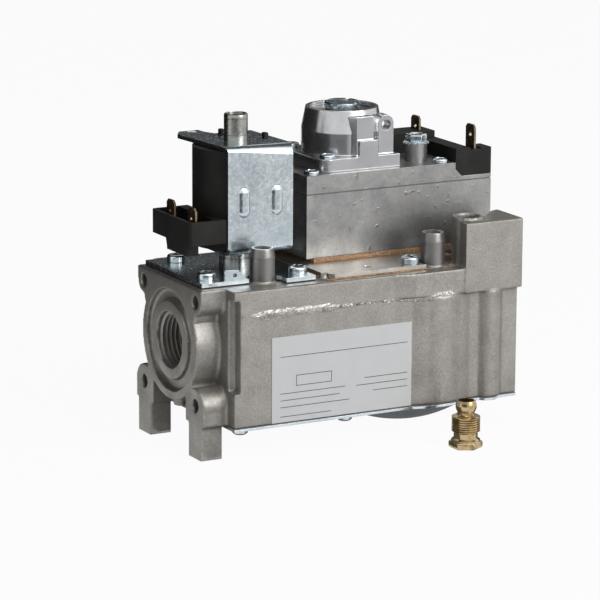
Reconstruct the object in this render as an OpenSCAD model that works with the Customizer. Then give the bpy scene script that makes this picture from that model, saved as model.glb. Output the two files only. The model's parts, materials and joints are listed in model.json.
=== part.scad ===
// Gas control valve with two solenoid stages and a pressure regulator.
// Millimetres. The origin is the centre of the inlet flange face, +X runs with the gas, +Z is up.

/* [Casting] */
// Length from the inlet face to the outlet face
body_len = 132; // [128:1:140]
// Width of the body block across the front and back faces
body_w = 67; // [66:0.5:70]
// Height of the pipe axis above the feet
axis_h = 40; // [38:0.5:44]
// Height of the top deck above the pipe axis
deck_h = 23.3; // [22.5:0.1:26]
// Depth of the casting's underside below the pipe axis
sole_h = 27.3; // [26.5:0.1:28]
// Wall of the casting around its gas passages
wall = 4; // [3.5:0.1:4.5]
// Depth of the pocket in the front corner beside the neck
corner_pocket = 2.5; // [1.5:0.1:3.5]

/* [Inlet and outlet] */
// Length of the neck from the flange face to the body block
neck_len = 9.8; // [8.5:0.1:10.5]
// Width of the flange across its four bolt lugs
flange_w = 52.2; // [50:0.1:56]
// Radius of the round part of the flange
flange_r = 22.3; // [21:0.1:23]
// Radius of the pipe thread at its crest in the casting
port_r = 10.5; // [10:0.1:11]
// Depth of the pipe thread
port_depth = 15; // [13:0.5:15.5]
// Outer radius of the seal recess in the flange face
recess_r = 19; // [18:0.1:20]
// Radius of the raised ring round the thread
ring_r = 14.7; // [13:0.1:16]
// Depth of the seal recess
recess_depth = 2.2; // [1:0.1:3]
// Spacing of the bolt holes across the flange
bolt_y = 42.4; // [41:0.1:44]
// Spacing of the bolt holes up the flange
bolt_z = 38.4; // [37:0.1:40]
// Radius of a flange bolt hole
bolt_r = 2.5; // [2:0.1:3]
// Depth of a flange bolt hole
bolt_depth = 9; // [7:0.5:9.5]

/* [Feet] */
// Width of a foot
foot_w = 10.2; // [9:0.1:11.5]
// Length of a foot along the pipe
foot_len = 8.5; // [7:0.1:9.5]

/* [Diaphragm chamber] */
// Distance of the diaphragm axis from the outlet face
chamber_inset = 36; // [34:0.5:38]
// Outer radius of the diaphragm chamber
chamber_r = 35.7; // [34.5:0.1:37]
// Height of the chamber's rim above the pipe axis
chamber_top = 13.7; // [12:0.1:15]
// Thickness of the bottom plate
plate_t = 0.9; // [0.8:0.1:1.2]
// Thickness of the bottom gasket and the main diaphragm
diaphragm_t = 0.4; // [0.3:0.1:0.6]
// Radius of the working part of the diaphragm
diaphragm_r = 30.5; // [29:0.5:31]
// Width of the clamped rim of the diaphragm
rim_w = 2.6; // [2:0.1:3]
// Stroke of the main valve
main_stroke = 2.5; // [1.5:0.1:2.5]
// Radius of the main valve's seat
main_seat_r = 11.5; // [10:0.5:12]

/* [Right-hand block] */
// Length of the block along the pipe
block_len = 24.7; // [22:0.1:27]
// Gap from the block to the outlet face
block_inset = 2.3; // [2:0.1:4]
// Depth of the block from front to back
block_d = 19; // [16:0.5:22]
// How far the block's front stands proud of the body
block_proud = 2.5; // [2.4:0.1:4]
// Height of the block above the deck
block_rise = 17; // [14:0.5:20]
// Radius of the pilot outlet boss
boss_r = 5.9; // [5.6:0.1:6.5]
// Radius of the pilot outlet's thread bore
pilot_r = 4.5; // [4:0.1:4.8]
// Depth of the pilot outlet's thread bore
pilot_depth = 12; // [9:0.5:14]

/* [Test nipples] */
// Radius of a test nipple
nipple_r = 4.5; // [4:0.1:5]
// Height of a test nipple above the deck
nipple_h = 13; // [11:0.5:15]
// Radius of a test nipple's bore
nipple_bore_r = 2.9; // [2.4:0.1:3.2]

/* [First solenoid] */
// Distance of the solenoid axis from the inlet face
solenoid_x = 27.5; // [27:0.1:28.5]
// Thickness of the operator plate
operator_t = 1.5; // [1.2:0.1:2]
// Thickness of the operator gasket
operator_gasket_t = 0.5; // [0.3:0.1:0.8]
// Outer radius of the guide tube
tube_r = 4.4; // [4.2:0.1:4.6]
// Wall of the guide tube
tube_wall = 0.7; // [0.5:0.1:0.9]
// Height of the tube's thick base above the operator plate
tube_base_h = 6.9; // [6:0.1:8]
// Height of the yoke
yoke_h = 40.1; // [38:0.1:43]
// Width of the yoke
yoke_w = 26.6; // [26:0.1:28]
// Depth from the yoke's front face to the solenoid axis
yoke_front = 15.2; // [14.8:0.1:16.5]
// Thickness of the yoke's strip
yoke_t = 1.5; // [1.2:0.1:1.8]
// Height of the guide tube above the yoke
tube_rise = 9.9; // [8:0.1:11]
// Radius of the coil
coil_r = 16; // [15:0.1:16.5]
// Stroke of the safety plunger
safety_stroke = 3; // [2:0.1:3.5]
// Radius of the safety valve's seat
safety_seat_r = 8; // [7:0.1:8.5]

/* [Terminal shroud] */
// Length of the shroud from the coil axis to its outer face
shroud_len = 26.1; // [24:0.1:27]
// Width of the shroud
shroud_w = 31.7; // [30:0.1:34]
// Height of the shroud's tray
shroud_h = 8.8; // [8:0.1:10]
// Wall of the shroud
shroud_wall = 1.5; // [1.2:0.1:1.8]
// Width of a spade tab
tab_w = 6.3; // [6:0.1:6.5]
// Thickness of a spade tab
tab_t = 0.8; // [0.5:0.1:1]
// Height of a spade tab
tab_h = 11; // [10:0.1:12]

/* [Upper block] */
// Distance of the upper block's left face from the inlet face
servo_x = 52.6; // [51.5:0.1:54]
// Distance of the upper block's front face from the pipe axis
servo_front = 8.5; // [8:0.1:9.5]
// Depth of the upper block
servo_d = 42.5; // [42:0.1:44]
// Height of the housing below the seam
servo_h = 23.8; // [23:0.1:25]
// Thickness of the cover above the seam
cover_t = 6.8; // [6:0.1:7.5]
// Thickness of the separator plate
separator_t = 1.5; // [1.2:0.1:2]
// Thickness of the lower cork gasket
cork_lower_t = 0.5; // [0.4:0.1:0.8]
// Thickness of the upper cork gasket
cork_upper_t = 1.4; // [1:0.1:1.8]
// Thickness of the gasket in the cover seam
servo_gasket_t = 0.4; // [0.3:0.1:0.6]
// Length of the terminal block along the pipe
terminal_len = 15.6; // [15:0.1:16.5]
// Stroke of the servo plunger
servo_stroke = 1.2; // [0.8:0.1:1.4]

/* [Regulator] */
// Distance of the regulator axis from the inlet face
turret_x = 78.2; // [77.5:0.1:78.8]
// Distance of the regulator axis behind the pipe axis
turret_y = 11.6; // [11.2:0.1:12]
// Radius of the turret
turret_r = 15.3; // [14.8:0.1:15.4]
// Radius of the turret's top rim
turret_top_r = 13.7; // [13.2:0.1:14.2]
// Height of the turret above the cover
turret_h = 21.8; // [21:0.1:23]
// Thickness of the turret's base plate
turret_base_t = 5; // [4:0.1:6]
// Radius of the spring cavity
spring_cavity_r = 11; // [10.5:0.1:11.4]
// Radius of the cap screw's head
cap_r = 6.7; // [6.2:0.1:7]
// Height of the cap screw's head
cap_h = 3.3; // [3:0.1:4]
// Depth of the dished top inside the turret's rim
cap_recess = 1.5; // [1:0.1:2]
// Travel of the spring seat
seat_travel = 2.5; // [1.5:0.1:2.5]

/* [Pilot fitting] */
// Height of the fitting's head
fitting_head_h = 2.7; // [2:0.1:4]
// Width across the flats of the fitting's head
fitting_af = 11; // [10:0.1:13]
// Length of the fitting's thread
fitting_thread_l = 6.1; // [5:0.1:8]
// Distance of the fitting in front of the body
fitting_front = 19.2; // [15:0.1:30]

/* [Label] */
// Length of the blank label
label_l = 58.4; // [50:0.1:60]
// Height of the blank label
label_h = 32; // [28:0.1:34]
// Thickness of the blank label
label_t = 0.2; // [0.1:0.05:0.4]

/* [Fits] */
// Running clearance between a sliding piece and its bore
run_gap = 0.1; // [0.05:0.01:0.15]
// Clearance between a fastener and its hole
hole_gap = 0.1; // [0.05:0.01:0.2]
// Gap left between a valve disc and its closed seat
seat_gap = 0.1; // [0.05:0.01:0.2]
// Room left round a loose piece
room = 0.4; // [0.3:0.05:0.6]

/* [Hidden] */
$fn = 64;
over = 1;
metal = [0.62, 0.61, 0.59];
dark_metal = [0.45, 0.46, 0.48];
zinc = [0.75, 0.79, 0.82];
black = [0.13, 0.13, 0.13];
brass = [0.80, 0.62, 0.28];
cork = [0.64, 0.40, 0.20];
rubber = [0.20, 0.20, 0.21];
copper = [0.72, 0.42, 0.25];
paper = [0.85, 0.86, 0.87];

// Casting
body_x = neck_len;
pad_len = 2.9;
body_end = body_len - pad_len;
front = -body_w / 2;
chamber_x = body_len - chamber_inset;
bolt_drop = 1;
lug_w = 12.6;
lug_y = flange_w / 2 - lug_w;
upper_lug_r = 4.75;
lower_lug_r = 6.6;
lug_inset = 0.2;
neck_mouth = 10.8;
neck_inset = 2;
foot_out = flange_w / 2 - 0.1;
rib_r = 4.9;
rib_x = body_len - 14.7;
rib_y = body_w / 2 - 2.8;
floor_z = -axis_h;
band_x = chamber_x - 12;
band_set = 0.4;
pocket_w = 5;
pocket_z = [-14.5, 3.5];
block_x = body_len - block_inset - block_len;
block_front = front - block_proud;
boss_x = block_x + 5;
boss_y = front + boss_r - 0.6;
boss_top = deck_h + block_rise + 1.2;
stub_r = 2.8;
peg_r = 1.4;

// Gas passages, one above another
gas_r = port_r - 1.5;
upper_floor = -port_r + 0.5;
diaphragm_roof = -port_r - wall;
web = wall;
lower_roof = upper_floor - web;
lower_floor = -sole_h + wall;
inlet_x0 = port_depth + wall / 4;
inlet_x1 = 44;
inlet_w = 30;
riser_x0 = inlet_x1 + 2 * wall;
riser_x1 = chamber_x - diaphragm_r - wall / 2;
main_floor = wall;
main_roof = deck_h - wall;
main_disc_r = main_seat_r + 3;
main_guide_r = 2.5;
guide_cap = 0.7;
main_cave_r = main_disc_r + 3;
lip = 1.5;
lip_h = 1;
drill_r = 1.2;
tapping_z = 6;
pilot_feed_z = 10;
main_disc_top = main_floor + lip_h + 3;

// Bottom plate and diaphragm
diaphragm_top = -sole_h;
plate_top = diaphragm_top - diaphragm_t;
plate_low = plate_top - plate_t;
rim_r = diaphragm_r + rim_w;
dome_h = axis_h + plate_low;
dome_rim = diaphragm_r + plate_t / 2;
dome_ball = (dome_rim * dome_rim + dome_h * dome_h) / (2 * dome_h);
sole_screw_in = 4.6;
sole_screw_end = 8.1;
sole_screw_back = 7;
sole_screw_l = 8;

// Operator stack and first solenoid
operator_low = deck_h + operator_gasket_t;
operator_top = operator_low + operator_t;
operator_x0 = 1.8;
operator_x1 = 45.5;
operator_back = 23.2;
operator_front = 23.3;
operator_step = 28.8;
step_x = solenoid_x + 6;
ear_x0 = 11.2;
nipple_room = 1.2;
nipple_top = deck_h + nipple_h;
nipple_bore = 6;
nipple_1 = [26.6, front + 10.6];
nipple_2 = [chamber_x + 0.1, front + 7];
tube_base_r = tube_r + 1.7;
yoke_low = operator_top + tube_base_h;
yoke_top = yoke_low + yoke_h;
yoke_x0 = solenoid_x - yoke_w / 2 + 2.4;
yoke_x1 = yoke_x0 + yoke_w;
tube_top = yoke_top + tube_rise;
tube_in = tube_r - tube_wall;
tube_low = operator_low - 1.5;
core_set = 0.8;
tube_flange_r = tube_base_r + 3;
core_low = yoke_low + yoke_h * 0.62;
plunger_r = tube_in - run_gap;
plunger_low = operator_low - 4;
plunger_top = core_low - safety_stroke - room;
safety_seat_z = upper_floor + lip_h + seat_gap;
safety_disc_r = safety_seat_r + lip + 1;
safety_disc_t = 2.5;
safety_disc_top = safety_seat_z + safety_disc_t;
safety_socket = 0.5;
safety_pin_r = plunger_r * 0.6;
yoke_back = yoke_front + 0.2;
coil_gap = 0.3;
bobbin_end = 3;
coil_low = yoke_low + yoke_t + coil_gap;
coil_top = yoke_top - yoke_t - coil_gap;
coil_bore = tube_r + hole_gap;
winding_in = tube_r + 2;
winding_out = coil_r - 3.4;
shroud_x0 = solenoid_x - shroud_len;
shroud_y0 = -yoke_front + 0.7;
shroud_top = coil_low + 12;
shroud_low = shroud_top - shroud_h;
shroud_floor = shroud_low + 2;
tab_x = shroud_x0 + 4.6;
tab_y = [shroud_y0 + 7.2, shroud_y0 + 24.4];

// Separator stack and upper block
cork_z = deck_h;
separator_low = cork_z + cork_lower_t;
separator_top = separator_low + separator_t;
servo_low = separator_top + cork_upper_t;
seam_z = servo_low + servo_h;
cover_low = seam_z + servo_gasket_t;
cover_top = cover_low + cover_t;
servo_back = servo_d - servo_front;
servo_mid = (servo_back - servo_front) / 2;
separator_x0 = operator_x1 + 3.7;
tongue_x1 = chamber_x - 4.9;
tongue_front = front + 2.9;
tongue_chamfer = [3.2, 6];
peg = [separator_x0 + 0.4, tongue_front + 3.4];
stack_x1 = body_end - 2;
ear_x1 = chamber_x + 12;
ear_y = -servo_front - 12;
ledge_y = -servo_front - 4;
cork_proud = 0.3;
vent = [chamber_x - 26.3, tongue_front + 6.5, 1.7];
servo_wall = 6.2;
servo_end_wall = 3.5;
cork_in = 2.6;
cork_front = 0.9;
seam_in = 0.3;
cover_screw_l = 8;
servo_floor = servo_low + 3.3;
notch_low = cover_low + 1.5;
servo_coil_r = 11.5;
servo_tube_r = 4.2;
servo_plunger_r = servo_tube_r - run_gap;
servo_plunger_low = servo_floor + seat_gap;
servo_plunger_h = 8;
servo_pocket = servo_plunger_low + servo_plunger_h / 2;
servo_core_low = servo_plunger_low + servo_plunger_h + servo_stroke + room;
servo_coil_top = seam_z - 1.5;
servo_coil_room = 1.2;
servo_end_room = 5.3;
cave_rib = 4;
// Regulator
base_x0 = turret_x - 18.4;
base_x1 = turret_x + 15.5;
base_y0 = turret_y - 17.4;
base_y1 = turret_y + 15.9;
base_corner = 5;
turret_rim = 1.6;
base_top = cover_top + turret_base_t;
rim_top = cover_top + turret_h;
cap_floor = rim_top - cap_recess;
screw_len = seat_travel + 3.5;
bore_low = cap_floor - screw_len;
adjust_r = 5;
regulator_rim_r = spring_cavity_r + 2.4;
regulator_t = 0.5;
dish_h = 1;
stem_plate_r = 9;
stem_plate_t = 1.5;
stem_r = 3;
stem_lift = 0.7;
nozzle_r = 3.4;
nozzle_top = servo_floor + 8;
seal_t = 0.8;
cap_low = cap_floor + seal_t;
cap_shank = 2;
cap_edge = 0.6;
screw_top = cap_floor - cap_shank - room;
seat_top = screw_top - screw_len;
seat_t = 1.5;
seat_low = seat_top - seat_t;
seat_r = spring_cavity_r - 0.5;
stem_plate_low = cover_top + regulator_t;
stem_plate_top = stem_plate_low + stem_plate_t;
lug_half = 3.25;
lug_x = turret_x + 10;
lug_t = 5;
lug_top = rim_top - 1.9;
lug_set = 1.2;
lug_hole_r = 1.9;
lug_hole_z = rim_top - 5.8;
clamp_x = turret_x - 2.6;
clamp_w = 7.2;
clamp_step = [0.7, 1, 5.9];
clamp_slope = [2, 2.5];
clamp_top = rim_top - 2.1;

// Earth screw, terminal block and the chain that sets the length of the upper block
earth_y = 2.3;
earth_boss_r = 4.2;
earth_washer = 1;
earth_gap = 6.3;
terminal_gap = 7;
earth_x = base_x1 + earth_gap + earth_boss_r + earth_washer;
notch_x = earth_x + earth_boss_r + terminal_gap;
servo_x1 = notch_x + terminal_len;
servo_axis = [servo_x1 - servo_end_wall - servo_end_room - servo_coil_r, servo_mid];
cave_split = servo_axis[0] - servo_coil_r - servo_coil_room - cave_rib / 2;
earth_boss_h = 6.9;
seat_cut = 2.7;
terminal_top = cover_top + 5.3;
terminal_foot = notch_low + 1.6;
terminal_bar = notch_x + 6.4;
terminal_front = terminal_top - 0.9;
terminal_front_y = -servo_front + 8;
terminal_corner = [servo_x1 - 4.5, 0.5];
terminal_back_top = terminal_top + 2.4;
terminal_back_y = [18, 29];
terminal_arm_x = base_x1 + 2.4;
terminal_tabs = [[servo_x1 - 6.4, -servo_front + 4.6, terminal_top - 2.9],
    [notch_x + 1.7, terminal_back_y[0] + 6.5, terminal_top - 3.4]];
cover_screw_y = 3;
cover_screws = [[servo_x + 3.5, -servo_front + cover_screw_y], [notch_x - 5, -servo_front + cover_screw_y],
    [servo_x + 3.5, servo_back - cover_screw_y]];

// Pilot fitting, standing on the floor
fitting_x = chamber_x - 0.2;
fitting_y = front - fitting_front;
fitting_neck_r = 4.45;
fitting_neck_l = 3.4;
fitting_thread_r = 5.3;
fitting_tip_r = 3.2;
fitting_tip_l = 1.3;
fitting_bore_r = 2.6;
olive_r = 3.9;
olive_h = 4.4;
olive_hole_r = 3;
olive_cone = 1.2;
olive_lip = 0.4;

// Fasteners
m4_r = 2;
m4_head_r = 3.5;
m4_head_h = 3.1;
m3_r = 1.5;
m3_head_r = 2.9;
m3_head_h = 1.9;
pan_side = 0.65;
pan_top = 0.75;
drive_len = 1.1;
drive_w = 0.25;
spring_steps = 12;
deck_screw_l = 8;
operator_screw_places = [[7.2, -16.2], [11, 16], [41.5, -22], [39.5, 19.7]];
separator_screw_places = [[tongue_x1 - 4.5, tongue_front + 4.4], [chamber_x + 7.5, -servo_front - 8]];
regulator_screw_places = [[base_x0 + 4.2, base_y0 + 2.6], [base_x0 + 4.2, base_y1 - 2.6],
    [base_x1 - 2.9, base_y1 - 2.6]];

// A box between two corners
module box(low, high) {
    translate(low) cube(high - low);
}

// An upright cylinder
module post(at, z0, z1, r) {
    translate([at[0], at[1], z0]) cylinder(h = z1 - z0, r = r);
}

// An upright tube
module pipe(at, z0, z1, r_out, r_in) {
    difference() {
        post(at, z0, z1, r_out);
        post(at, z0 - over, z1 + over, r_in);
    }
}

// A cylinder along the pipe axis
module along_x(x0, x1, y, z, r) {
    translate([x0, y, z]) rotate([0, 90, 0]) cylinder(h = x1 - x0, r = r);
}

// A cylinder from front to back
module along_y(x, y0, y1, z, r) {
    translate([x, y0, z]) rotate([-90, 0, 0]) cylinder(h = y1 - y0, r = r);
}

// A flat outline in the flange's plane, made thick along the pipe
module slab_x(x0, x1) {
    translate([x0, 0, 0]) rotate([90, 0, 90]) linear_extrude(x1 - x0) children();
}

// A flat outline seen from above, made thick upwards
module slab_z(z0, z1) {
    translate([0, 0, z0]) linear_extrude(z1 - z0) children();
}

// A rectangle between two corners
module rect(x0, y0, x1, y1) {
    translate([x0, y0]) square([x1 - x0, y1 - y0]);
}

// A pan-head screw standing on z with its shank below
module pan_screw(at, z, head_r, head_h, shank_r, shank_l) {
    side_h = head_h * pan_side;
    difference() {
        union() {
            post(at, z, z + side_h, head_r);
            translate([at[0], at[1], z + side_h])
                cylinder(h = head_h - side_h, r1 = head_r, r2 = head_r * pan_top);
        }
        for (turn = [0, 90])
            translate([at[0], at[1], z + head_h]) rotate(turn)
                cube([head_r * drive_len, head_r * drive_w, head_h], center = true);
    }
    post(at, z - shank_l, z, shank_r);
}

function helix_point(r, turns, length, i, steps) =
    let (a = 360 * turns * i / steps) [r * cos(a), r * sin(a), length * i / steps];

// A coil spring of round wire, standing on z
module coil_spring(at, z0, z1, r, wire, turns) {
    sides = 6;
    steps = turns * spring_steps;
    rise = z1 - z0 - wire;
    ring = [for (i = [0:steps]) for (s = [0:sides - 1])
        let (c = helix_point(r, turns, rise, i, steps), a = 360 * turns * i / steps, b = 360 * s / sides,
            d = wire / 2 * cos(b))
        [c[0] + d * cos(a), c[1] + d * sin(a), c[2] + wire / 2 * sin(b)]];
    last = steps * sides;
    faces = concat([[for (s = [0:sides - 1]) s]], [[for (s = [sides - 1:-1:0]) last + s]],
        [for (i = [0:steps - 1]) for (s = [0:sides - 1]) for (half = [0, 1])
            let (p = i * sides + s, q = i * sides + (s + 1) % sides)
            half == 0 ? [p, p + sides, q] : [q, p + sides, q + sides]]);
    translate([at[0], at[1], z0 + wire / 2]) polyhedron(points = ring, faces = faces);
}

// A spade tab standing on z, with its hole, facing along the pipe
module spade_tab(x, y, z) {
    tip = 1.2;
    hole_r = 0.9;
    hole_drop = 4;
    translate([x - tab_t / 2, y, z]) rotate([90, 0, 90]) linear_extrude(tab_t) difference() {
        polygon([[-tab_w / 2, 0], [tab_w / 2, 0], [tab_w / 2, tab_h - tip], [tab_w / 2 - tip, tab_h],
            [tip - tab_w / 2, tab_h], [-tab_w / 2, tab_h - tip]]);
        translate([0, tab_h - hole_drop]) circle(hole_r);
    }
}

function bolt_holes(drop) = [for (sy = [-1, 1]) for (sz = [-1, 1])
    [sy * bolt_y / 2, sz * bolt_z / 2 - drop]];

function sole_screws() = [for (s = [-1, 1]) each [[body_x + sole_screw_in, s * (body_w / 2 - sole_screw_in)],
    [(riser_x0 + riser_x1) / 2, s * (body_w / 2 - sole_screw_in)],
    [body_end - sole_screw_end, s * (body_w / 2 - sole_screw_back)]]];

// Main casting
// The flange with its four bolt lugs, milled level with the deck
module flange_outline() {
    intersection() {
        lugged_flange();
        rect(-flange_w, -sole_h, flange_w, deck_h);
    }
}

module lugged_flange() {
    half = flange_w / 2;
    y = bolt_y / 2;
    high = bolt_z / 2 - bolt_drop;
    low = -bolt_z / 2 - bolt_drop;
    lower = y + lower_lug_r - lug_inset;
    circle(flange_r);
    polygon([[-half, deck_h], [-half, high], [-y, high - upper_lug_r / 2],
        [neck_inset - flange_r, neck_mouth], [flange_r - neck_inset, neck_mouth],
        [y, high - upper_lug_r / 2], [half, high], [half, deck_h]]);
    for (s = [-1, 1]) {
        translate([s * y, high]) circle(upper_lug_r);
        translate([s * y, low]) circle(lower_lug_r);
        polygon([[s * lower, low], [s * lower, -sole_h], [s * lug_y, -sole_h], [s * lug_y, -neck_mouth]]);
    }
}

module sole_outline() {
    rect(body_x, front, body_end, -front);
    translate([chamber_x, 0]) circle(chamber_r);
    for (s = [-1, 1]) translate([rib_x, s * rib_y]) circle(rib_r);
}

module block_outline() {
    x1 = block_x + block_len;
    back = block_front + block_d;
    corner = [4.5, 2];
    polygon([[block_x, block_front], [x1, block_front], [x1, back], [x1 - corner[0], back - corner[1]],
        [boss_x + boss_r, boss_y], [block_x, boss_y - boss_r / 2]]);
}

module nipple(at) {
    tip = 3;
    taper = 0.4;
    foot = 0.8;
    post(at, deck_h - over, nipple_top - tip, nipple_r);
    translate([at[0], at[1], nipple_top - tip]) cylinder(h = tip, r1 = nipple_r, r2 = nipple_r - taper);
    translate([at[0], at[1], deck_h]) cylinder(h = foot, r1 = nipple_r + foot, r2 = nipple_r);
}

module body_solid() {
    slab_x(0, body_x + over) flange_outline();
    for (s = [-1, 1])
        box([0, s * foot_out - (s > 0 ? foot_w : 0), floor_z],
            [foot_len, s * foot_out + (s > 0 ? 0 : foot_w), -sole_h + over]);
    slab_z(-sole_h, chamber_top) sole_outline();
    slab_z(chamber_top - over, deck_h) rect(body_x, front, body_end, -front);
    box([band_x, block_front + band_set, chamber_top + band_set], [block_x + over, 0, deck_h]);
    box([block_x, block_front, chamber_top], [block_x + block_len, 0, deck_h]);
    slab_z(deck_h - over, deck_h + block_rise) block_outline();
    post([boss_x, boss_y], chamber_top, boss_top, boss_r);
    box([body_end - over, -flange_w / 2, -sole_h + wall], [body_len, flange_w / 2, deck_h]);
    nipple(nipple_1);
    nipple(nipple_2);
    post([neck_len / 2, 0], -flange_r - stub_r, 0, stub_r);
    post(peg, deck_h - over, separator_top, peg_r);
}

module flange_port(x, way, drop) {
    along_x(x - (way < 0 ? port_depth : over), x + (way < 0 ? over : port_depth), 0, 0, port_r);
    difference() {
        along_x(x - (way < 0 ? recess_depth : over), x + (way < 0 ? over : recess_depth), 0, 0, recess_r);
        along_x(x - 2 * recess_depth, x + 2 * recess_depth, 0, 0, ring_r);
    }
    for (hole = bolt_holes(drop))
        along_x(x - (way < 0 ? bolt_depth : over), x + (way < 0 ? over : bolt_depth),
            hole[0], hole[1], bolt_r);
}

module gas_passages() {
    half = inlet_w / 2;
    box([inlet_x0, -half, upper_floor], [inlet_x1, half, deck_h + over]);
    along_x(port_depth - over, inlet_x0 + over, 0, 0, gas_r);
    along_x(chamber_x, body_len - port_depth + over, 0, 0, gas_r);
    post([solenoid_x, 0], lower_roof - over, upper_floor + over, safety_seat_r);
    box([inlet_x0, -half, lower_floor], [riser_x1, half, lower_roof]);
    box([riser_x0, -half, lower_floor], [riser_x1, half, main_roof]);
    box([riser_x1 - over, -half + wall, main_floor], [chamber_x, half - wall, main_roof]);
    post([chamber_x, 0], main_floor, main_roof, main_cave_r);
    post([chamber_x, 0], -over, main_floor + over, main_seat_r);
    post([chamber_x, 0], -sole_h - over, 0, main_cave_r);
    post([chamber_x, 0], -sole_h - over, diaphragm_roof, diaphragm_r);
    post([chamber_x, 0], main_roof - over, deck_h - guide_cap, main_guide_r + run_gap);
}

module body_drillings() {
    for (at = [nipple_1, nipple_2]) post(at, nipple_top - nipple_bore, nipple_top + over, nipple_bore_r);
    post(nipple_1, tapping_z - drill_r, nipple_top, drill_r);
    along_y(nipple_1[0], nipple_1[1], -inlet_w / 2 + over, tapping_z, drill_r);
    post(nipple_2, diaphragm_roof - over, nipple_top, drill_r);
    post([boss_x, boss_y], boss_top - pilot_depth, boss_top + over, pilot_r);
    post([boss_x, boss_y], pilot_feed_z - drill_r, boss_top, drill_r);
    along_y(boss_x, boss_y, -main_cave_r / 2, pilot_feed_z, drill_r);
    for (at = sole_screws()) post(at, -sole_h - over, -sole_h + sole_screw_l, m3_r + hole_gap);
    for (at = concat(operator_screw_places, separator_screw_places))
        post(at, deck_h - deck_screw_l, deck_h + over, m4_r + hole_gap);
}

module main_body() color(metal) {
    difference() {
        body_solid();
        flange_port(0, 1, bolt_drop);
        flange_port(body_len, -1, 0);
        gas_passages();
        body_drillings();
        box([body_x - over, front - over, pocket_z[0]],
            [body_x + corner_pocket, front + pocket_w, deck_h - pocket_z[1]]);
    }
    pipe([solenoid_x, 0], upper_floor - over, upper_floor + lip_h, safety_seat_r + lip, safety_seat_r);
    pipe([chamber_x, 0], main_floor - over, main_floor + lip_h, main_seat_r + lip, main_seat_r);
}

module rating_label() color(paper) {
    edge = 0.3;
    x1 = chamber_x - sqrt(max(0, pow(chamber_r, 2) - pow(front, 2))) - edge;
    z0 = -sole_h + edge;
    box([x1 - label_l, front - label_t, z0], [x1, front, z0 + label_h]);
}

// Bottom plate, its gasket and the main diaphragm
module bottom_plate() color(zinc) {
    difference() {
        slab_z(plate_low, plate_top) sole_outline();
        post([chamber_x, 0], plate_low - over, plate_top + over, dome_rim - plate_t / 2);
        for (at = sole_screws()) post(at, plate_low - over, plate_top + over, m3_r + hole_gap);
    }
    intersection() {
        translate([chamber_x, 0, floor_z + dome_ball]) difference() {
            sphere(dome_ball);
            sphere(dome_ball - plate_t);
        }
        post([chamber_x, 0], floor_z - over, plate_top, dome_rim);
    }
}

module bottom_gasket() color(rubber) {
    difference() {
        slab_z(plate_top, diaphragm_top) sole_outline();
        post([chamber_x, 0], plate_top - over, diaphragm_top + over, rim_r + hole_gap);
        for (at = sole_screws()) post(at, plate_top - over, diaphragm_top + over, m3_r + hole_gap);
    }
}

module bottom_plate_screws() color(zinc) {
    for (at = sole_screws())
        translate([at[0], at[1], plate_low]) mirror([0, 0, 1])
            pan_screw([0, 0], 0, m3_head_r, m3_head_h, m3_r, sole_screw_l);
}

module main_diaphragm() color(rubber) {
    pipe([chamber_x, 0], plate_top, diaphragm_top, rim_r, main_guide_r + hole_gap);
}

module main_stem() color(metal) {
    upper = [20, 1.5];
    lower = [16, 1];
    post([chamber_x, 0], plate_top - lower[1], deck_h - guide_cap - main_stroke - room / 2, main_guide_r);
    pipe([chamber_x, 0], diaphragm_top, diaphragm_top + upper[1], upper[0], main_guide_r - over);
    pipe([chamber_x, 0], plate_top - lower[1], plate_top, lower[0], main_guide_r - over);
}

module main_disc() color(rubber) {
    pipe([chamber_x, 0], main_floor + lip_h + seat_gap, main_disc_top, main_disc_r, main_guide_r);
}

module main_spring() color(zinc) {
    coil_spring([chamber_x, 0], main_disc_top, main_roof, main_disc_r * 0.6, 1, 4);
}

// Inlet strainer
module inlet_strainer() color(zinc) {
    disc = 0.6;
    x = inlet_x0;
    pitch = gas_r / 3;
    difference() {
        along_x(x, x + disc, 0, 0, gas_r + disc);
        for (ring = [0:2]) for (k = [0:max(0, ring * 6 - 1)])
            rotate([k * 60 / max(1, ring), 0, 0])
                along_x(x - over, x + disc + over, 0, ring * pitch, pitch / 3);
    }
}

// Operator plate and first solenoid
module operator_outline() {
    difference() {
        polygon([[operator_x0, -operator_front], [step_x, -operator_front], [step_x, -operator_step],
            [operator_x1, -operator_step], [operator_x1, operator_back], [operator_x0, operator_back]]);
        translate(nipple_1) circle(nipple_r + nipple_room);
        for (at = operator_screw_places) translate(at) circle(m4_r + hole_gap);
    }
}

module operator_gasket() color(rubber) {
    slab_z(deck_h, operator_low) difference() {
        operator_outline();
        rect(inlet_x0, -inlet_w / 2, inlet_x1, inlet_w / 2);
    }
}

module operator_plate() color(zinc) {
    slab_z(operator_low, operator_top) difference() {
        operator_outline();
        translate([solenoid_x, 0]) circle(tube_base_r + hole_gap);
    }
    ear = [9.1, 4.1];
    ear_t = 0.9;
    hole = [4, 1.9, 0.8];
    translate([ear_x0, ear_t - operator_front, operator_low]) rotate([90, 0, 0])
        linear_extrude(ear_t) difference() {
        polygon([[0, 0], [ear[0], 0], [ear[0], operator_t], [ear[0] * 0.6, operator_t + ear[1] * 0.9],
            [0, operator_t + ear[1]]]);
        translate([hole[0], operator_t + hole[1]]) circle(hole[2]);
    }
}

module operator_screws() color(zinc) {
    for (at = operator_screw_places)
        pan_screw(at, operator_top, m4_head_r, m4_head_h, m4_r, deck_screw_l + over);
}

module guide_tube() color(zinc) {
    difference() {
        union() {
            post([solenoid_x, 0], tube_low, operator_low, tube_flange_r);
            post([solenoid_x, 0], operator_low - over, yoke_low, tube_base_r);
            post([solenoid_x, 0], yoke_low - over, tube_top, tube_r);
        }
        post([solenoid_x, 0], tube_low - over, tube_top + over, tube_in);
    }
}

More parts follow.
